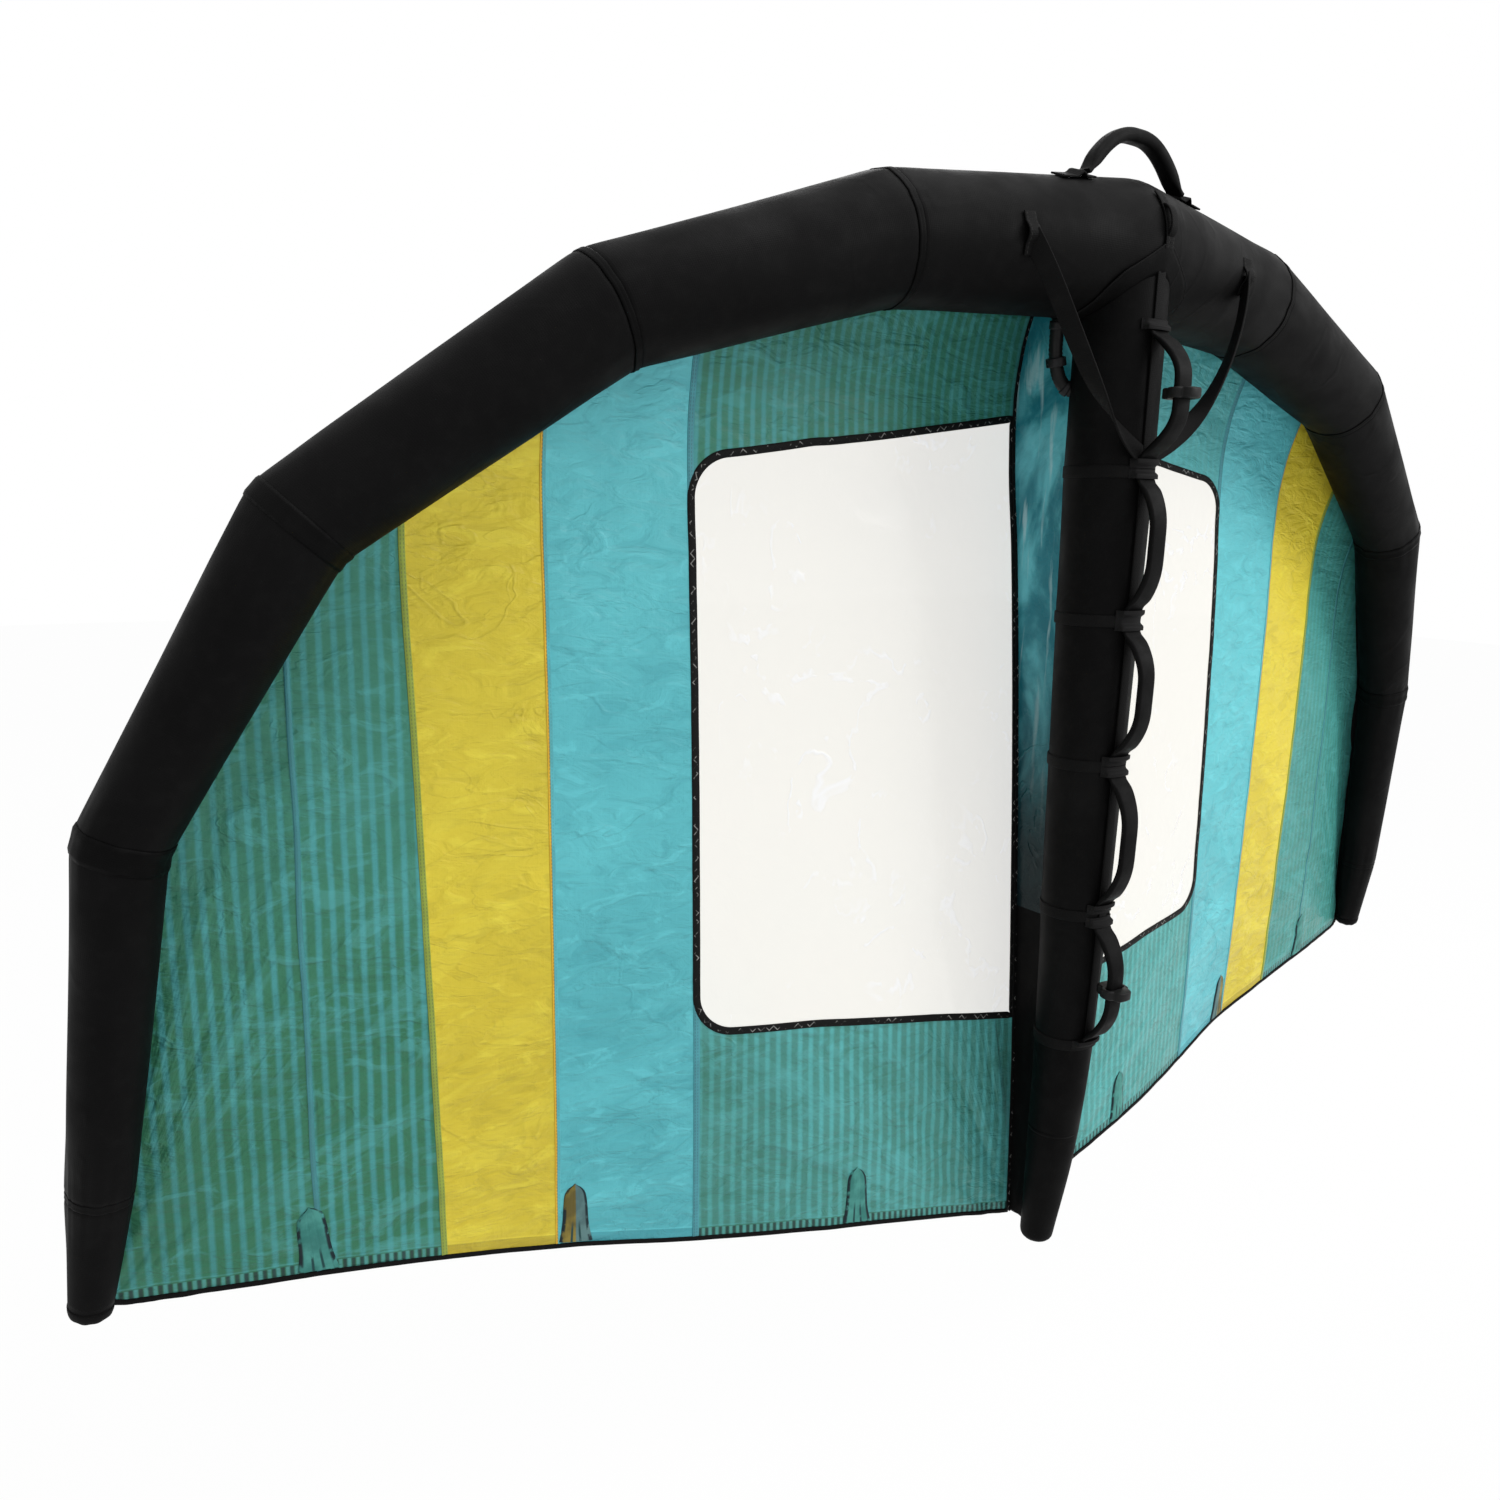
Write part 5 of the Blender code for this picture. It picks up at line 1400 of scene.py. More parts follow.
def strip_on_canopy(name, side, q, v, width, lift, finish, slot, close=False):
    """Flat tape lying on the canopy along a line, on both of its faces."""
    line = canopy_smooth(q, v)
    normal = canopy_slope(q, v)
    ahead = (np.roll(line, -1, axis=0) - np.roll(line, 1, axis=0) if close
             else np.gradient(line, axis=0))
    across = unit(np.cross(normal, unit(ahead)))
    line = line + normal * canopy_folds(side, q, v)[:, None]
    run = along_lengths(line)
    section = TAPE_SECTION + tuple((a, -b) for a, b in reversed(TAPE_SECTION))
    grid = np.stack([line + across * width * a + normal * lift * b for a, b in section], axis=1)
    uv = np.stack([np.stack([run, np.full(len(run), width * (a + 0.5))], axis=1)
                   for a, _ in section], axis=1)
    grid[..., 0] *= side
    rows, columns = grid.shape[:2]
    faces = strip_faces(rows, columns, close_rows=close, close_columns=True)
    faces += end_faces(rows, columns, 0 if close else 2)
    piece(name, grid, faces, finish, (), uv, 60, side < 0)


class WING_OT_seams(bpy.types.Operator):
    """Build the canopy's seams, window bindings and the strip at the leading edge"""
    bl_idname = "wing.seams"
    bl_label = "Seams and bindings"

    def execute(self, context):
        teal = seam_tape("teal", (0.058, 0.300, 0.350))
        olive = seam_tape("olive", (0.270, 0.350, 0.042))
        blue = seam_tape("blue", (0.045, 0.245, 0.265), (0.04, 0.20, 0.24))
        light = seam_tape("light", (0.095, 0.450, 0.500), (0.06, 0.30, 0.34))
        amber = seam_tape("amber", (0.720, 0.420, 0.020))
        tape = binding_tape("window_binding", sizes().binding)
        attach = tube_cloth("attach_cloth", 1.3)
        v = np.linspace(SEAM_FIRST, SEAM_LAST, 150)
        top, bottom = (float(edge[0]) for edge in window_edges(np.array([WINDOW_Q])))
        seams = ((WINDOW_Q, np.linspace(SEAM_FIRST, top - 0.008, 24), teal, 0.009),
                 (WINDOW_Q, np.linspace(bottom + 0.008, SEAM_LAST, 34), teal, 0.009),
                 (BAND_Q[0] - 0.0024, v, light, 0.0045), (BAND_Q[1] + 0.001, v, olive, 0.0075),
                 (self.outer_seam(v), v, blue, 0.0060), (BAND_Q[0] + 0.0006, v, amber, 0.0028))
        for side in SIDES:
            for n, (q, rows, finish, width) in enumerate(seams, 1):
                strip_on_canopy(f"panel_seam_{word(side)}_{n}", side,
                                np.broadcast_to(q, rows.shape), rows, width, SEAM_LIFT,
                                finish, "striped_cloth")
            strip_on_canopy(f"window_binding_{word(side)}", side, *self.window_line(),
                            sizes().binding, BINDING_LIFT, tape, "black_webbing", True)
            q = np.linspace(0.0, 0.998, 260)
            strip_on_canopy(f"attach_strip_{word(side)}", side, q,
                            ATTACH_MIDDLE / chord_length(q), ATTACH_WIDTH, ATTACH_LIFT, attach,
                            "black_cloth")
        return {"FINISHED"}

    def outer_seam(self, v):
        """Span shares of the seam that runs beside the strut at one distance from it."""
        q = np.linspace(0.70, 0.95, 60)
        shares = []
        for row in v:
            x = canopy_smooth(q, row)[:, 0]
            wander = 0.0030 * noise.noise(Vector((row * 7.0, 0.0, 2.0)))
            shares.append(float(np.interp(OUTER_SEAM_X + wander, x, q)))
        return np.array(shares)

    def window_line(self):
        """Span and chord shares of the line round the window's edge."""
        reach = WINDOW_CORNER / TE_HALF_SPAN
        inner = 0.5 * sizes().binding / TE_HALF_SPAN
        turn = np.linspace(0.0, np.pi / 2.0, 20)[1:]
        q = np.concatenate([np.linspace(inner, WINDOW_Q - reach, 60),
                            WINDOW_Q - reach + reach * np.sin(turn)])
        top, bottom = window_edges(q)
        side_v = np.linspace(float(top[-1]), float(bottom[-1]), 92)[1:-1]
        root_v = np.linspace(float(bottom[0]), float(top[0]), 102)[1:-1]
        return (np.concatenate([q, np.full_like(side_v, WINDOW_Q), q[::-1],
                                np.full_like(root_v, inner)]),
                np.concatenate([top, side_v, bottom[::-1], root_v]))


class WING_OT_trailing_edge(bpy.types.Operator):
    """Build the cord bound into the trailing edge and the batten pockets"""
    bl_idname = "wing.trailing_edge"
    bl_label = "Trailing edge"

    def execute(self, context):
        cord = webbing_cloth("edge_cord_webbing", 1.3)
        plain = pocket_cloth("pocket_cloth", (0.038, 0.205, 0.180), (0.080, 0.330, 0.290))
        split = pocket_cloth("pocket_cloth_split", (0.085, 0.165, 0.170), (0.130, 0.250, 0.250),
                             True)
        for side in SIDES:
            q = np.linspace(0.0015, 1.0, 220)
            edge = canopy_place(side, q, 1.0)
            down = unit(edge - canopy_place(side, q, 0.99))
            end = canopy_place(side, np.ones(6), np.linspace(0.86, 0.30, 6))
            line = np.concatenate([edge + down * CORD_DROP,
                                   end + np.array([side, 0.0, -1.0]) * CORD_END_REACH])
            ways = np.concatenate([down, np.repeat(down[-1:], len(end), axis=0)])
            strap(f"edge_cord_{word(side)}", line, ways, CORD_SECTION, cord,
                  [f"te_cord_{word(side)}"], sharp=None)
            for n, place in enumerate(POCKET_Q, 1):
                self.pocket(side, n, place, split if n == 2 else plain)
        return {"FINISHED"}

    def pocket(self, side, number, place, finish):
        """Finger-shaped pocket on the canopy's front, humped by its batten."""
        reach = np.linspace(0.0, 1.0, POCKET_ROWS)[:, None]
        across = np.linspace(-1.0, 1.0, POCKET_COLUMNS)[None, :]
        width = np.maximum(pocket_shape(reach), 0.03)
        width *= np.sqrt(clamp(1.0 - np.clip((reach - 0.80) / 0.20, 0.0, 0.99) ** 2))
        run = POCKET_START + (POCKET_LENGTH - POCKET_START) * reach
        q = place + across * width * POCKET_WIDTH / 2.0 / TE_HALF_SPAN
        v = 1.0 - run / float(chord_length(np.array([place]))[0])
        hump = np.sqrt(clamp(1.0 - across ** 2)) * POCKET_HUMP * np.minimum(1.0, width * 1.6)
        skin = canopy_place(side, q, v, -POCKET_LIFT - hump)
        under = canopy_place(side, q, v, -POCKET_UNDER_LIFT)
        shape = (POCKET_ROWS, POCKET_COLUMNS)
        count = POCKET_ROWS * POCKET_COLUMNS
        index = np.arange(count).reshape(shape)
        border = np.concatenate([index[0], index[1:, -1], index[-1, -2::-1], index[-2:0:-1, 0]])
        border = border.tolist()
        faces = strip_faces(*shape) + flipped(strip_faces(*shape, shift=count))
        faces += [(b, a, count + a, count + b) for a, b in zip(border, border[1:] + border[:1])]
        uv = np.stack(pair(across + 0 * reach, reach + 0 * across), axis=-1)
        piece(f"batten_sleeve_{word(side)}_{number}", [skin, under], faces, finish,
              [f"batten_pocket_{word(side)}_{number}"], [uv, uv], 70, side > 0)


# Pieces: handles

# Widths and walls of the loops' sewn ends, and how deep they lie
SEWN_WIDTH, SEWN_WALL, SEWN_SINK = 0.0330, 0.0042, 0.0044
FRONT_SEWN_WIDTH, FRONT_SEWN_WALL, FRONT_SEWN_SINK = 0.0225, 0.0060, 0.0030
TAB_HALF, TAB_EDGE, TAB_SLOPE, TAB_WALL = 0.025, 0.0232, 0.0052, 0.0016
RING_GAP, RING_LENGTH, RING_WALL = 0.0008, 0.0135, 0.0070
BRACE_TOP_TURN = 56
RINGED_HANDLES = ((0, "front"), (4, "rear"))
BRACE_TOP_X = 0.206
BRACE_FOOT_DROP = 0.262
BRACE_FOOT_X = 0.0085
LEASH_ANGLE = 164.0


def handle_ends(number):
    """Ends of the line that a strut handle swings on, its direction and its way out."""
    if number == 0:
        top = LE_RADIUS + HANDLE_FIRST_GAP
    else:
        top = BAND_DROPS[number - 1] + HANDLE_TOP_GAPS[number - 1]
    stand = OVER_BAND + SPINE_WALL + SEAM_GAP + NECK_RADIUS
    ends = []
    for drop in (top, BAND_DROPS[number] - HANDLE_FOOT_GAPS[number]):
        radius, y = frame_strut(drop)
        ends.append(np.array([0.0, float(y - radius * FLAT) - stand, -drop]))
    along = unit(ends[1] - ends[0])
    out = np.cross(along, RIGHT)
    return *ends, along, -out if out[1] > 0.0 else out


def loop_line(start, end, out, reach, neck_length, grip_share, sink, steps=14):
    """Middle line of a sewn loop that stands off the line between its ends.

    Its ends lie sink nearer to the tube, where they are sewn down."""
    size = np.linalg.norm(end - start)
    along = (end - start) / size
    grip = size / 2.0 - neck_length
    rise = grip * (1.0 - grip_share)
    # Place along the line, lift off it and share of the full section, up to the middle
    half = [(0.0, -sink, 0.0), (neck_length * 0.5, -sink * 0.6, 0.10)]
    for t in (i / steps for i in range(steps + 1)):
        half.append((neck_length + rise * t, reach * (1.0 - (1.0 - t) ** 2), min(1.0, t / 0.16)))
    for t in (i / 5.0 for i in range(1, 5)):
        half.append((neck_length + rise + (grip - rise) * t, reach, 1.0))
    rows = half + [(size / 2.0, reach, 1.0)] + [(size - a, b, c) for a, b, c in half[::-1]]
    points = [start + along * a + out * b for a, b, _ in rows]
    return np.array(points), np.array([c for _, _, c in rows]), along


def handle_pieces(name, start, end, out, across, line, widths, walls, bend, node,
                  sleeve):
    """Webbing loop with a padded sleeve, in two halves.

    line holds reach, neck length, grip share and sink. widths are those of the sewn end, the
    leg and the grip, walls those of the sewn end and the grip, and bend is the radius of the tube
    that the ends are sewn to."""
    points, full, along = loop_line(start, end, out, *line)
    for _ in range(3):
        points[2:-2] = (points[1:-3] + 2.0 * points[2:-2] + points[3:-1]) / 4.0
    sections = []
    for f, lift in zip(full, clamp((points - start) @ out / line[0])):
        widest = widths[1] + (widths[2] - widths[1]) * lift ** 2
        wall = walls[0] + (walls[1] - walls[0]) * f
        sections.append(rounded_section(widths[0] + (widest - widths[0]) * f, wall, wall * 0.42,
                                        4))
    sections = np.array(sections)
    rings = sweep(points, across, sections)
    rings -= out * (sections[..., :1] ** 2 / (2.0 * bend) * (1.0 - full[:, None, None]))
    middle = len(rings) // 2
    for end_word, part, fixed, way in (("top", rings[:middle + 1], start, along),
                                       ("foot", rings[middle:], end, -along)):
        item = tube(f"{name}_{end_word}", part, sleeve, [node], sharp=60,
                    body=None)
        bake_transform(item)


class WING_OT_handles(bpy.types.Operator):
    """Build the strut's five handles and the tabs that sew them on"""
    bl_idname = "wing.handles"
    bl_label = "Strut handles"

    def execute(self, context):
        size = sizes()
        sleeve = grip_foam("grip_cloth")
        # The tabs' webbing is 2.6 times lighter: a painted sheen standing in for the lit patch on
        # the strut's side between the handles
        tab = webbing_cloth("tab_webbing", 2.6)
        for n, reach in enumerate(HANDLE_REACHES):
            start, end, _, out = handle_ends(n)
            name = f"handle_{n + 1}"
            handle_pieces(f"grip_{n + 1}", start, end, out, RIGHT,
                          (reach, NECK_LENGTH, GRIP_SHARE, SEWN_SINK),
                          (SEWN_WIDTH, size.leg, size.handle), (SEWN_WALL, size.handle_wall),
                          STRUT_RADIUS, name, sleeve)
            self.tab(f"grip_tab_{n + 1}_top", -start[2], 1.0, tab)
            self.tab(f"grip_tab_{n + 1}_foot", -end[2], -1.0, tab)
        return {"FINISHED"}

    def tab(self, name, drop, way, finish):
        """Patch curved round the strut's front that holds one end of a loop."""
        x = np.linspace(-TAB_HALF, TAB_HALF, 25)
        plateau = clamp((TAB_EDGE - np.abs(x)) / TAB_SLOPE)
        plateau = plateau * plateau * (3.0 - 2.0 * plateau)
        rings = []
        for t in np.linspace(-0.010, 0.0035, 10):
            here = drop + way * t
            radius = float(strut_radius_at(here))
            rise = 0.0028 + 0.0050 * float(clamp((t + 0.006) / 0.004))
            outer = radius + 0.0024 + rise * plateau
            a = np.concatenate([x, x[::-1]]) / radius
            r = np.concatenate([outer, (outer - TAB_WALL)[::-1]])
            rings.append(np.stack([np.sin(a) * r, float(strut_axis_y(here)) - np.cos(a) * r,
                                   np.full(len(a), -here)], axis=1))
        tube(name, rings, finish, sharp=50, flip=way < 0.0)


class WING_OT_front_handle(bpy.types.Operator):
    """Build the handle on the leading edge with its sewn tabs"""
    bl_idname = "wing.front_handle"
    bl_label = "Front handle"

    def execute(self, context):
        size = sizes()
        start, end = front_ends()
        handle_pieces("front_grip", start, end, UP, BACK,
                      (FRONT_HANDLE_REACH, FRONT_HANDLE_NECK_LENGTH, FRONT_HANDLE_GRIP_SHARE,
                       FRONT_SEWN_SINK),
                      (FRONT_SEWN_WIDTH, size.front_handle, size.front_handle),
                      (FRONT_SEWN_WALL, size.front_handle_wall), LE_RADIUS,
                      "front_handle", grip_foam("front_grip_cloth"))
        tab = webbing_cloth("front_tab_webbing", 1.3, 0.026)
        for side in SIDES:
            # Webbing lying along the tube under the handle's end, with a raised fold
            line = [TUBE.off(TUBE.station_at_x(end[0] + t), CORNER * FRONT_HANDLE_CORNER,
                             0.0015 + 0.0055 * float(bump_shape((t - 0.006) / 0.007)))
                    for t in np.linspace(-0.014, 0.034, 18)]
            strap(f"front_tab_{word(side)}", np.array(line) * np.array([side, 1.0, 1.0]),
                  np.array([0.0, 1.0, 0.35]), (0.026, 0.0024, 0.0009), tab)
        return {"FINISHED"}


class WING_OT_harness_rings(bpy.types.Operator):
    """Build the rubber rings on the first and last handles"""
    bl_idname = "wing.harness_rings"
    bl_label = "Harness rings"

    def execute(self, context):
        size = sizes()
        finish = rubber("ring_rubber", colours().rubber, 0.48)
        for n, end_word in RINGED_HANDLES:
            start, end, along, out = handle_ends(n)
            middle = (start + end) / 2.0 + out * HANDLE_REACHES[n]
            rings = []
            for turn in turns(72):
                ex, ey = (math.copysign(abs(a) ** 0.42, a)
                          for a in (math.cos(turn), math.sin(turn)))
                inner = (RIGHT * ex * (size.handle / 2.0 + RING_GAP)
                         + out * ey * (size.handle_wall / 2.0 + RING_GAP))
                ray = unit(RIGHT * ex * 0.6 + out * ey)
                # Thick towards the hook and towards the strut
                wall = RING_WALL + 0.0105 * float(bump_shape((turn - math.pi / 2) / 0.55))
                wall += 0.0120 * float(bump_shape((turn - 1.5 * math.pi) / 0.50))
                section = rounded_section(wall, RING_LENGTH, 0.0028, 4)
                rings.append(middle + inner + ray * wall / 2.0 + ray * section[:, :1]
                             + along * section[:, 1:])
            ring_piece(f"line_ring_{end_word}", rings, finish, f"ring_{end_word}_body",
                       [f"harness_ring_{end_word}"])
        return {"FINISHED"}


class WING_OT_braces(bpy.types.Operator):
    """Build the two slack straps and the loops that hold their tops"""
    bl_idname = "wing.braces"
    bl_label = "Brace straps"

    def execute(self, context):
        width = sizes().brace
        finish = webbing_cloth("brace_webbing", 0.9)
        tab = webbing_cloth("brace_tab_webbing", 0.8, 0.02)
        station = TUBE.station_at_x(BRACE_TOP_X)
        start = TUBE.off(station, np.pi, -0.001)
        drop = BRACE_FOOT_DROP
        front = strut_axis_y(drop) - strut_radius_at(drop) * FLAT
        end = np.array([BRACE_FOOT_X, front - 0.0018, -drop])
        line = bezier((start, start + np.array([-0.036, -0.034, -0.078]),
                       end + np.array([0.112, -0.010, 0.047]), end), 40)
        turn = math.radians(BRACE_TOP_TURN)
        first = np.array([math.cos(turn), math.sin(turn), 0.0])
        ways = mixed(first, UP, np.linspace(0.0, 1.0, len(line))[:, None] ** 2)
        loop = [TUBE.off(station, math.pi + t * 0.30,
                         0.0012 + 0.0060 * float(bump_shape(t / 0.62)))
                for t in np.linspace(-1.0, 1.0, 22)]
        for side in SIDES:
            mirror = np.array([side, 1.0, 1.0])
            rings = sweep(line, ways, rounded_section(width, 0.0030, 0.0011)) * mirror
            tube(f"brace_{word(side)}", rings, finish,
                 [f"brace_strap_{word(side)}"], sharp=50, flip=side < 0)
            # Small loop on the leading edge, that the strap's top is folded over
            strap(f"brace_loop_{word(side)}", np.array(loop) * mirror, RIGHT,
                  (0.020, 0.0024, 0.0009), tab)
        return {"FINISHED"}


class WING_OT_leash_loop(bpy.types.Operator):
    """Build the small webbing loop on the leading edge's middle seam"""
    bl_idname = "wing.leash_loop"
    bl_label = "Leash loop"

    def execute(self, context):
        turn = math.radians(LEASH_ANGLE)
        out = np.array([0.0, math.cos(turn), math.sin(turn)])
        along = unit(np.cross(out, RIGHT))
        middle = out * LE_RADIUS * FLAT
        finish = webbing_cloth("leash_webbing", 0.8, 0.012)
        line = [middle - along * math.cos(t) * 0.020 + out * math.sin(t) * 0.010
                for t in np.linspace(-0.10, math.pi + 0.10, 26)]
        strap("leash_webbing_loop", line, RIGHT, (0.012, 0.0026, 0.0010), finish,
              ["leash_loop"])
        over = LE_RADIUS + 0.0010
        line = [(0.0, math.cos(turn + a) * over, math.sin(turn + a) * over)
                for a in np.linspace(-0.48, 0.40, 20)]
        strap("middle_seam_webbing", line, RIGHT, (0.015, 0.0020, 0.0008), finish)
        return {"FINISHED"}


# Pieces: hose, clip, valve and cap

# Pairs of radius and height over the tube
VALVE_PROFILE = (
    (0.0070, -0.0060), (0.0108, -0.0060), (0.0110, 0.0003), (0.0143, 0.0003),
    (0.0146, 0.0010), (0.0144, 0.0028), (0.0138, 0.0034), (0.0116, 0.0036),
    (0.0111, 0.0040), (0.0113, 0.0048), (0.0111, 0.0056), (0.0113, 0.0064),
    (0.0110, 0.0076), (0.0104, 0.0080), (0.0076, 0.0080), (0.0071, 0.0076))
# Pairs of radius and height over the cap's underside, and that side's own height
CAP_PROFILE = ((0.0002, 0.0), (0.0128, 0.0), (0.0134, 0.0006), (0.0135, 0.0034),
               (0.0128, 0.0041), (0.0085, 0.0040), (0.0075, 0.0032), (0.0002, 0.0032))
CAP_BASE = 0.0083
CAP_KNURL = (0.0134, 0.00025, 18)
TETHER_LINE = ((0.0122, 0.0042), (0.0148, 0.0043), (0.0170, 0.0048), (0.0186, 0.0060),
               (0.0195, 0.0078), (0.0197, 0.0102))
HOSE_STEPS, HOSE_SIDES, HOSE_TIES = 48, 24, (7, 41)
HOSE_RADIUS, HOSE_RIDGE, HOSE_WALL, TIE_RADIUS = 0.0090, 0.00035, 0.0028, 0.0108
HOSE_SUNK, HOSE_BEND = 0.0075, 0.028
CLIP_RADIUS, CLIP_WALL, CLIP_LENGTH = 0.0096, 0.0030, 0.0118


def facet(x, corner):
    """Centre, normal, along and across of the frame's face of the tube at x."""
    side = 1.0 if x > 0 else -1.0
    share = abs(x) / (HALF_SPAN * LE_X[1])
    a, b = frame_edge(side, corner, share), frame_edge(side, corner + 1, share)
    across = unit(b - a)
    along = unit(frame_edge(side, corner, share * 0.5) - a)
    normal = unit(np.cross(across, along))
    middle = (a + b) / 2.0
    axis = le_node(side, 0) + (le_node(side, 1) - le_node(side, 0)) * share
    return middle, -normal if normal.dot(middle - axis) < 0.0 else normal, along, across


class WING_OT_hose(bpy.types.Operator):
    """Build the inflation hose and its clip"""
    bl_idname = "wing.hose"
    bl_label = "Hose and clip"

    def execute(self, context):
        hose = rubber("hose_rubber", colours().rubber, 0.40)
        plastic = rubber("clip_plastic", colours().plastic, 0.36)
        line = self.path()
        ridges = [round_section(HOSE_RADIUS + HOSE_RIDGE * math.cos(n * math.pi), HOSE_SIDES)
                  for n in range(len(line))]
        tube("hose", sweep(line, BACK, np.array(ridges)), hose,
             ["inflation_hose"], 0, HOSE_WALL)
        tie = round_section(TIE_RADIUS, HOSE_SIDES)
        for n, at in enumerate(HOSE_TIES, 1):
            tube(f"hose_tie_{n}", sweep(line[at - 2:at + 3], BACK, tie), plastic,
                 (), 0, COVER_WALL, 50)
        self.clip(line, plastic)
        return {"FINISHED"}

    def path(self):
        """The hose's middle line, from the leading edge to the side of the strut."""
        start, normal, _, _ = facet(HOSE_X, 12)
        radius, y = frame_strut(HOSE_DROP)
        turn = 2.0 * math.pi * 2 / FRAME_SIDES
        out = np.array([-math.cos(turn), math.sin(turn), 0.0])
        end = np.array([0.0, y, -HOSE_DROP]) + out * radius * FLAT
        return bezier((start - normal * HOSE_SUNK, start + normal * HOSE_BEND,
                       end + out * HOSE_BEND, end - out * HOSE_SUNK), HOSE_STEPS)

    def clip(self, line, finish):
        """Pinch clip: a rounded body round the hose, thicker on its two sides."""
        middle = len(line) // 2
        ahead = unit(line[middle + 1] - line[middle - 1])
        across = unit(BACK - ahead * BACK.dot(ahead))
        face = np.cross(ahead, across)
        rings = []
        for turn in turns(48):
            ray = across * math.cos(turn) + face * math.sin(turn)
            wall = CLIP_WALL + 0.0018 * abs(math.cos(turn)) ** 4
            section = rounded_section(wall, CLIP_LENGTH, 0.0012)
            rings.append(line[middle] + ray * (CLIP_RADIUS + wall / 2.0) + ray * section[:, :1]
                         + ahead * section[:, 1:])
        ring_piece("pinch_clip", rings, finish, "hose_clip_body", ["hose_clip"],
                   50)


class WING_OT_valve(bpy.types.Operator):
    """Build the inflation valve and its cap on the far side of the leading edge"""
    bl_idname = "wing.valve"
    bl_label = "Valve and cap"

    def execute(self, context):
        plastic = rubber("valve_plastic", colours().plastic, 0.34)
        patch = tube_cloth("valve_patch_cloth", 0.8)
        centre, normal, along, _ = facet(VALVE_X, 13)
        other = unit(np.cross(normal, along))

        def turned(name, profile, sides, body, node, wave=(1.0, 0.0, 0)):
            """Piece turned about the valve's axis; a wave is knurled from its radius on."""
            turn = turns(sides)
            ray = along * np.cos(turn)[:, None] + other * np.sin(turn)[:, None]
            rings = []
            for radius, height in profile:
                knurl = wave[1] * np.cos(turn * wave[2]) if radius >= wave[0] else 0.0 * turn
                rings.append(centre + normal * height + ray * (radius + knurl)[:, None])
            ring_piece(name, rings, plastic, body, [node], 40)

        turned("air_valve", VALVE_PROFILE, 48, "wing_body", "inflate_valve")
        turned("air_valve_cap", [(radius, CAP_BASE + height) for radius, height in CAP_PROFILE],
               72, "valve_cap_body", "valve_cap", CAP_KNURL)
        for name, line, section, body in (
                ("cap_strap", [(a, CAP_BASE + 0.0020) for a in np.linspace(0.0120, 0.0185, 8)],
                 (0.0078, 0.0034, 0.0012), "valve_cap_body"),
                ("cap_tether", TETHER_LINE, (0.0074, 0.0014, 0.0006), "wing_body")):
            strap(name, [centre + along * a + normal * b for a, b in line], other, section,
                  plastic, body=body)
        self.patch(centre, along, other, patch)
        return {"FINISHED"}

    def patch(self, centre, along, other, finish):
        """Round patch on the tube's cloth under the valve."""
        turn = turns(48)[:, None]
        rings = []
        for radius, height in ((0.0122, 0.0004), (0.0300, 0.0004), (0.0312, -0.0002)):
            point = centre + (along * np.cos(turn) + other * np.sin(turn)) * radius
            share = point[:, :1] / (HALF_SPAN * LE_X[1])
            axis = le_node(1.0, 0) + (le_node(1.0, 1) - le_node(1.0, 0)) * share
            over = LE_RADIUS * (1 - (1 - LE_R[1]) * share) + 0.0006 + height
            rings.append(axis + unit(point - axis) * over)
        cover("valve_patch", rings, finish, wall=0.0008)


# Stage

WHITE = (1.0, 1.0, 1.0, 1.0)
SENSOR_WIDTH = 36.0
FLOOR_REACH = 14.0
# Name, place, aim and size of each light
LAMPS = (("key", (3.0, -3.4, 1.8), (0.0, 0.0, -0.7), 2.6),
         ("top", (0.4, -1.2, 3.4), (0.0, 0.1, -0.5), 3.0),
         ("back", (2.0, 3.2, 1.4), (0.1, 0.2, -0.7), 2.6))


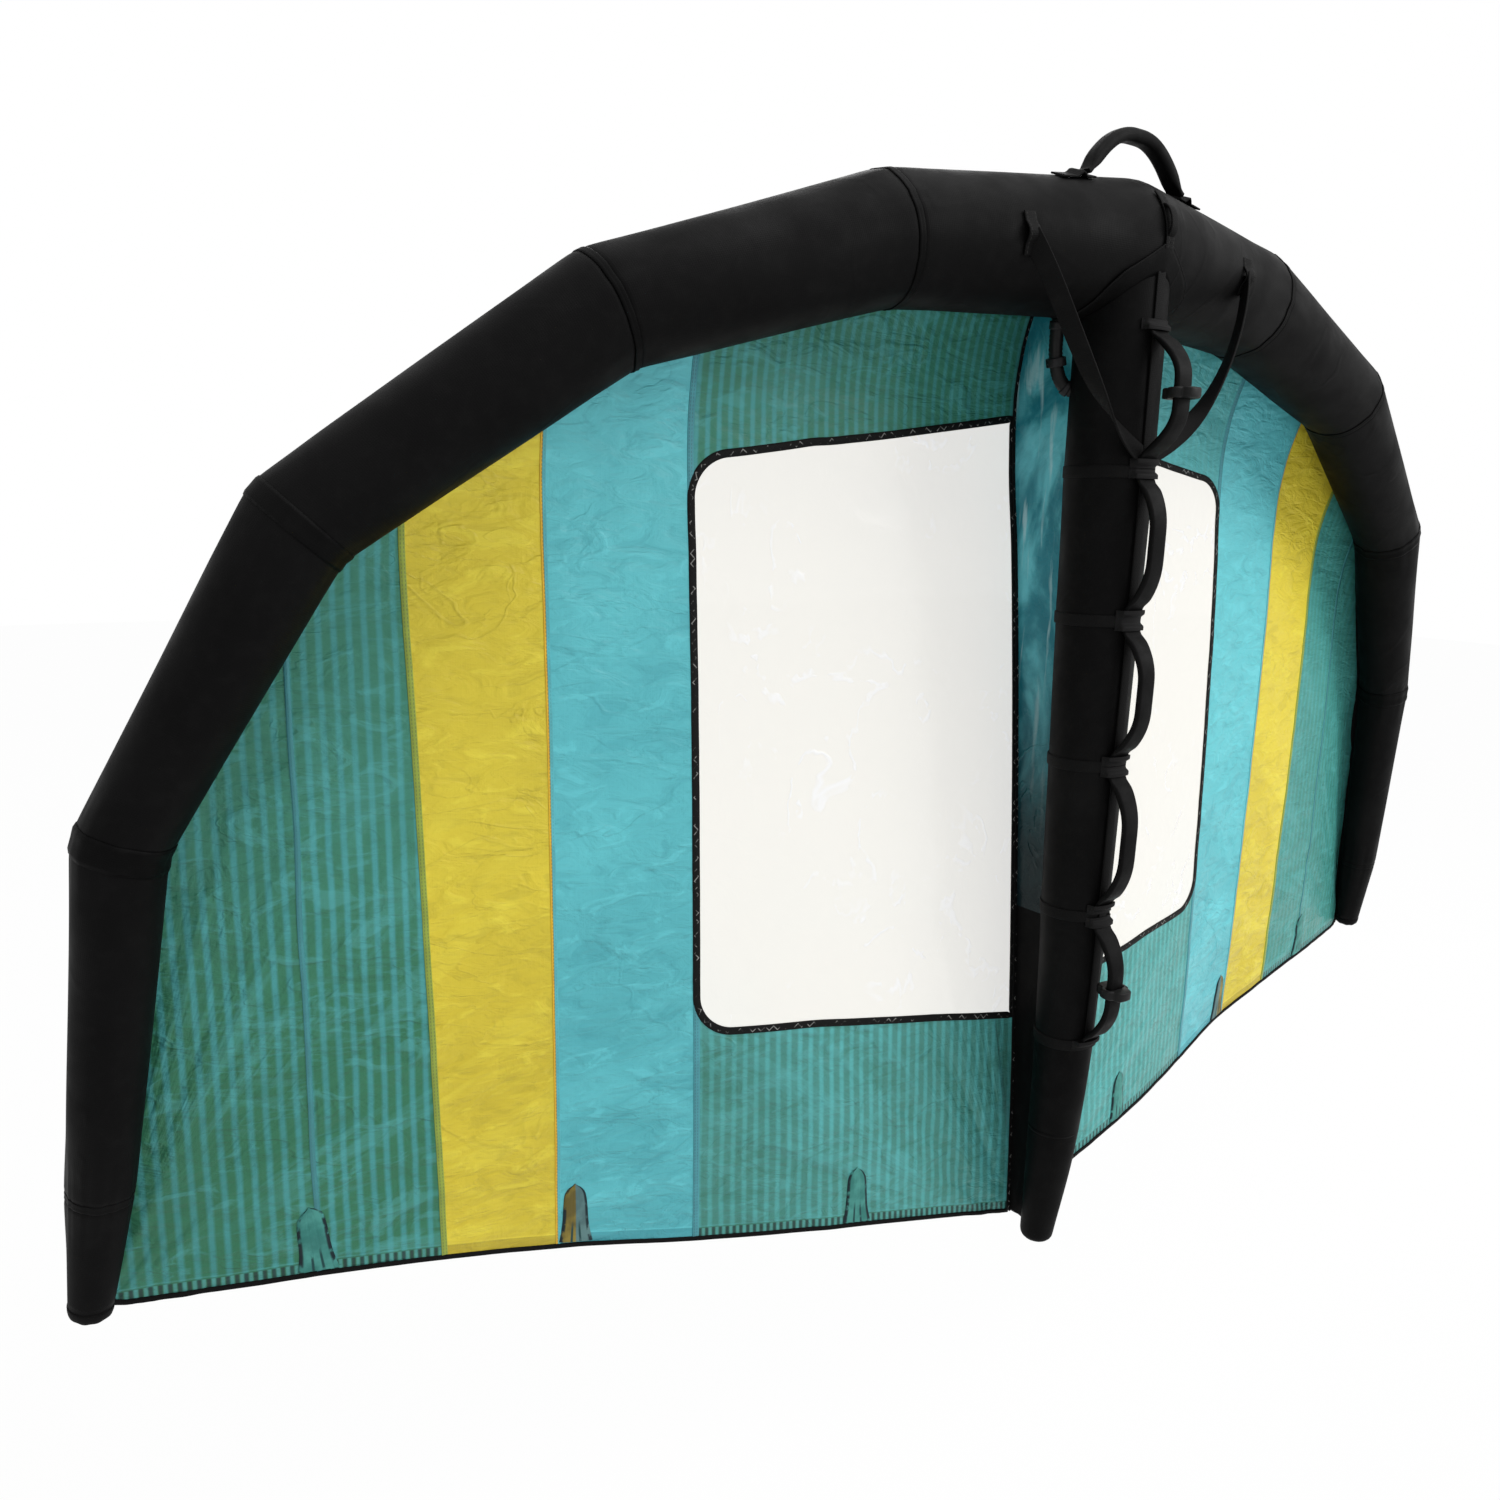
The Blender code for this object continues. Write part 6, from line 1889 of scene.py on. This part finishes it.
class WING_OT_stage(bpy.types.Operator):
    """Set up the camera, the pale floor, the world and the lights"""
    bl_idname = "wing.stage"
    bl_label = "Stage"

    def execute(self, context):
        s = context.scene.wing_stage
        data = bpy.data.cameras.new("camera")
        data.lens = s.lens
        data.sensor_width = SENSOR_WIDTH
        data.clip_end = 100.0
        camera = bpy.data.objects.new("camera", data)
        bpy.context.collection.objects.link(camera)
        turn = Matrix((unit(CAMERA_RIGHT), -unit(CAMERA_DOWN), -unit(CAMERA_AHEAD))).transposed()
        camera.matrix_world = Matrix.Translation(CAMERA_PLACE) @ turn.to_4x4()
        context.scene.camera = camera
        self.floor(CAD_LOW[2] - s.floor_gap)
        self.world(s.world)
        for name, place, aim, size in LAMPS:
            self.lamp(name, place, aim, size, getattr(s, name))
        context.scene.view_settings.view_transform = "Standard"
        return {"FINISHED"}

    def floor(self, height):
        """Pale floor that shows white and keeps the wing's shadow."""
        mesh = bpy.data.meshes.new("floor")
        corners = ((-1, -1), (1, -1), (1, 1), (-1, 1))
        mesh.from_pydata([(x * FLOOR_REACH, y * FLOOR_REACH, height) for x, y in corners], [],
                         [(0, 1, 2, 3)])
        paint = bpy.data.materials.new("floor_paint")
        paint.use_nodes = True
        tree = paint.node_tree
        shader = tree.nodes["Principled BSDF"]
        shader.inputs["Base Color"].default_value = (0.94, 0.94, 0.94, 1.0)
        shader.inputs["Roughness"].default_value = 0.9
        glow = add_node(tree, "Emission", WHITE)
        self.show(tree, 0.965, shader, glow, "Material Output")
        mesh.materials.append(paint)
        item = bpy.data.objects.new("floor", mesh)
        bpy.context.collection.objects.link(item)

    def show(self, tree, share, first, second, output):
        """Mixes in a second shader where the camera sees, also through gloss and film."""
        rays = tree.nodes.new("ShaderNodeLightPath").outputs
        seen = rays["Is Camera Ray"]
        for operation, value in (("MAXIMUM", rays["Is Glossy Ray"]),
                                 ("MAXIMUM", rays["Is Transmission Ray"]), ("MULTIPLY", share)):
            step = add_node(tree, "Math", seen, value)
            step.operation = operation
            seen = step.outputs[0]
        mix = add_node(tree, "MixShader", seen, first.outputs[0], second.outputs[0])
        tree.links.new(mix.outputs[0], tree.nodes[output].inputs["Surface"])

    def world(self, strength):
        """White all round for the camera, and a level light for the rest."""
        world = bpy.data.worlds.new("studio")
        world.use_nodes = True
        bpy.context.scene.world = world
        tree = world.node_tree
        light = tree.nodes["Background"]
        light.inputs["Color"].default_value = WHITE
        light.inputs["Strength"].default_value = strength
        self.show(tree, 1.0, light, add_node(tree, "Background", WHITE, 1.0), "World Output")

    def lamp(self, name, place, aim, size, power):
        data = bpy.data.lights.new(name, "AREA")
        data.shape = "DISK"
        data.size = size
        data.energy = power
        item = bpy.data.objects.new(name, data)
        bpy.context.collection.objects.link(item)
        item.location = place
        item.rotation_mode = "QUATERNION"
        item.rotation_quaternion = (Vector(aim) - Vector(place)).to_track_quat("-Z", "Y")


class WING_PT_panel(bpy.types.Panel):
    """Buttons for the wing's pieces"""
    bl_idname = "WING_PT_panel"
    bl_label = "Inflatable wing"
    bl_space_type = "VIEW_3D"
    bl_region_type = "UI"
    bl_category = "Wing"

    def draw(self, context):
        for key in GROUPS:
            group, box = getattr(context.scene, key), self.layout.box()
            for name in group.__annotations__:
                box.prop(group, name)
        column = self.layout.column()
        for operator in OPERATORS:
            column.operator(operator.bl_idname)


OPERATORS = (WING_OT_stage, WING_OT_leading_edge, WING_OT_bladders, WING_OT_strut, WING_OT_web,
             WING_OT_canopy, WING_OT_seams, WING_OT_trailing_edge, WING_OT_handles,
             WING_OT_front_handle, WING_OT_harness_rings, WING_OT_braces, WING_OT_leash_loop,
             WING_OT_hose, WING_OT_valve)
GROUPS = {"wing_sizes": WingSizes, "wing_colours": WingColours, "wing_stage": WingStage}


def register():
    for group in GROUPS.values():
        bpy.utils.register_class(group)
    for name, group in GROUPS.items():
        setattr(bpy.types.Scene, name, PointerProperty(type=group))
    for operator in OPERATORS:
        bpy.utils.register_class(operator)
    bpy.utils.register_class(WING_PT_panel)


def unregister():
    bpy.utils.unregister_class(WING_PT_panel)
    for operator in reversed(OPERATORS):
        bpy.utils.unregister_class(operator)
    for name in GROUPS:
        delattr(bpy.types.Scene, name)
    for group in reversed(list(GROUPS.values())):
        bpy.utils.unregister_class(group)


def main():
    register()
    for operator in OPERATORS:
        getattr(bpy.ops.wing, operator.bl_idname.split(".")[1])()


if __name__ == "__main__":
    main()
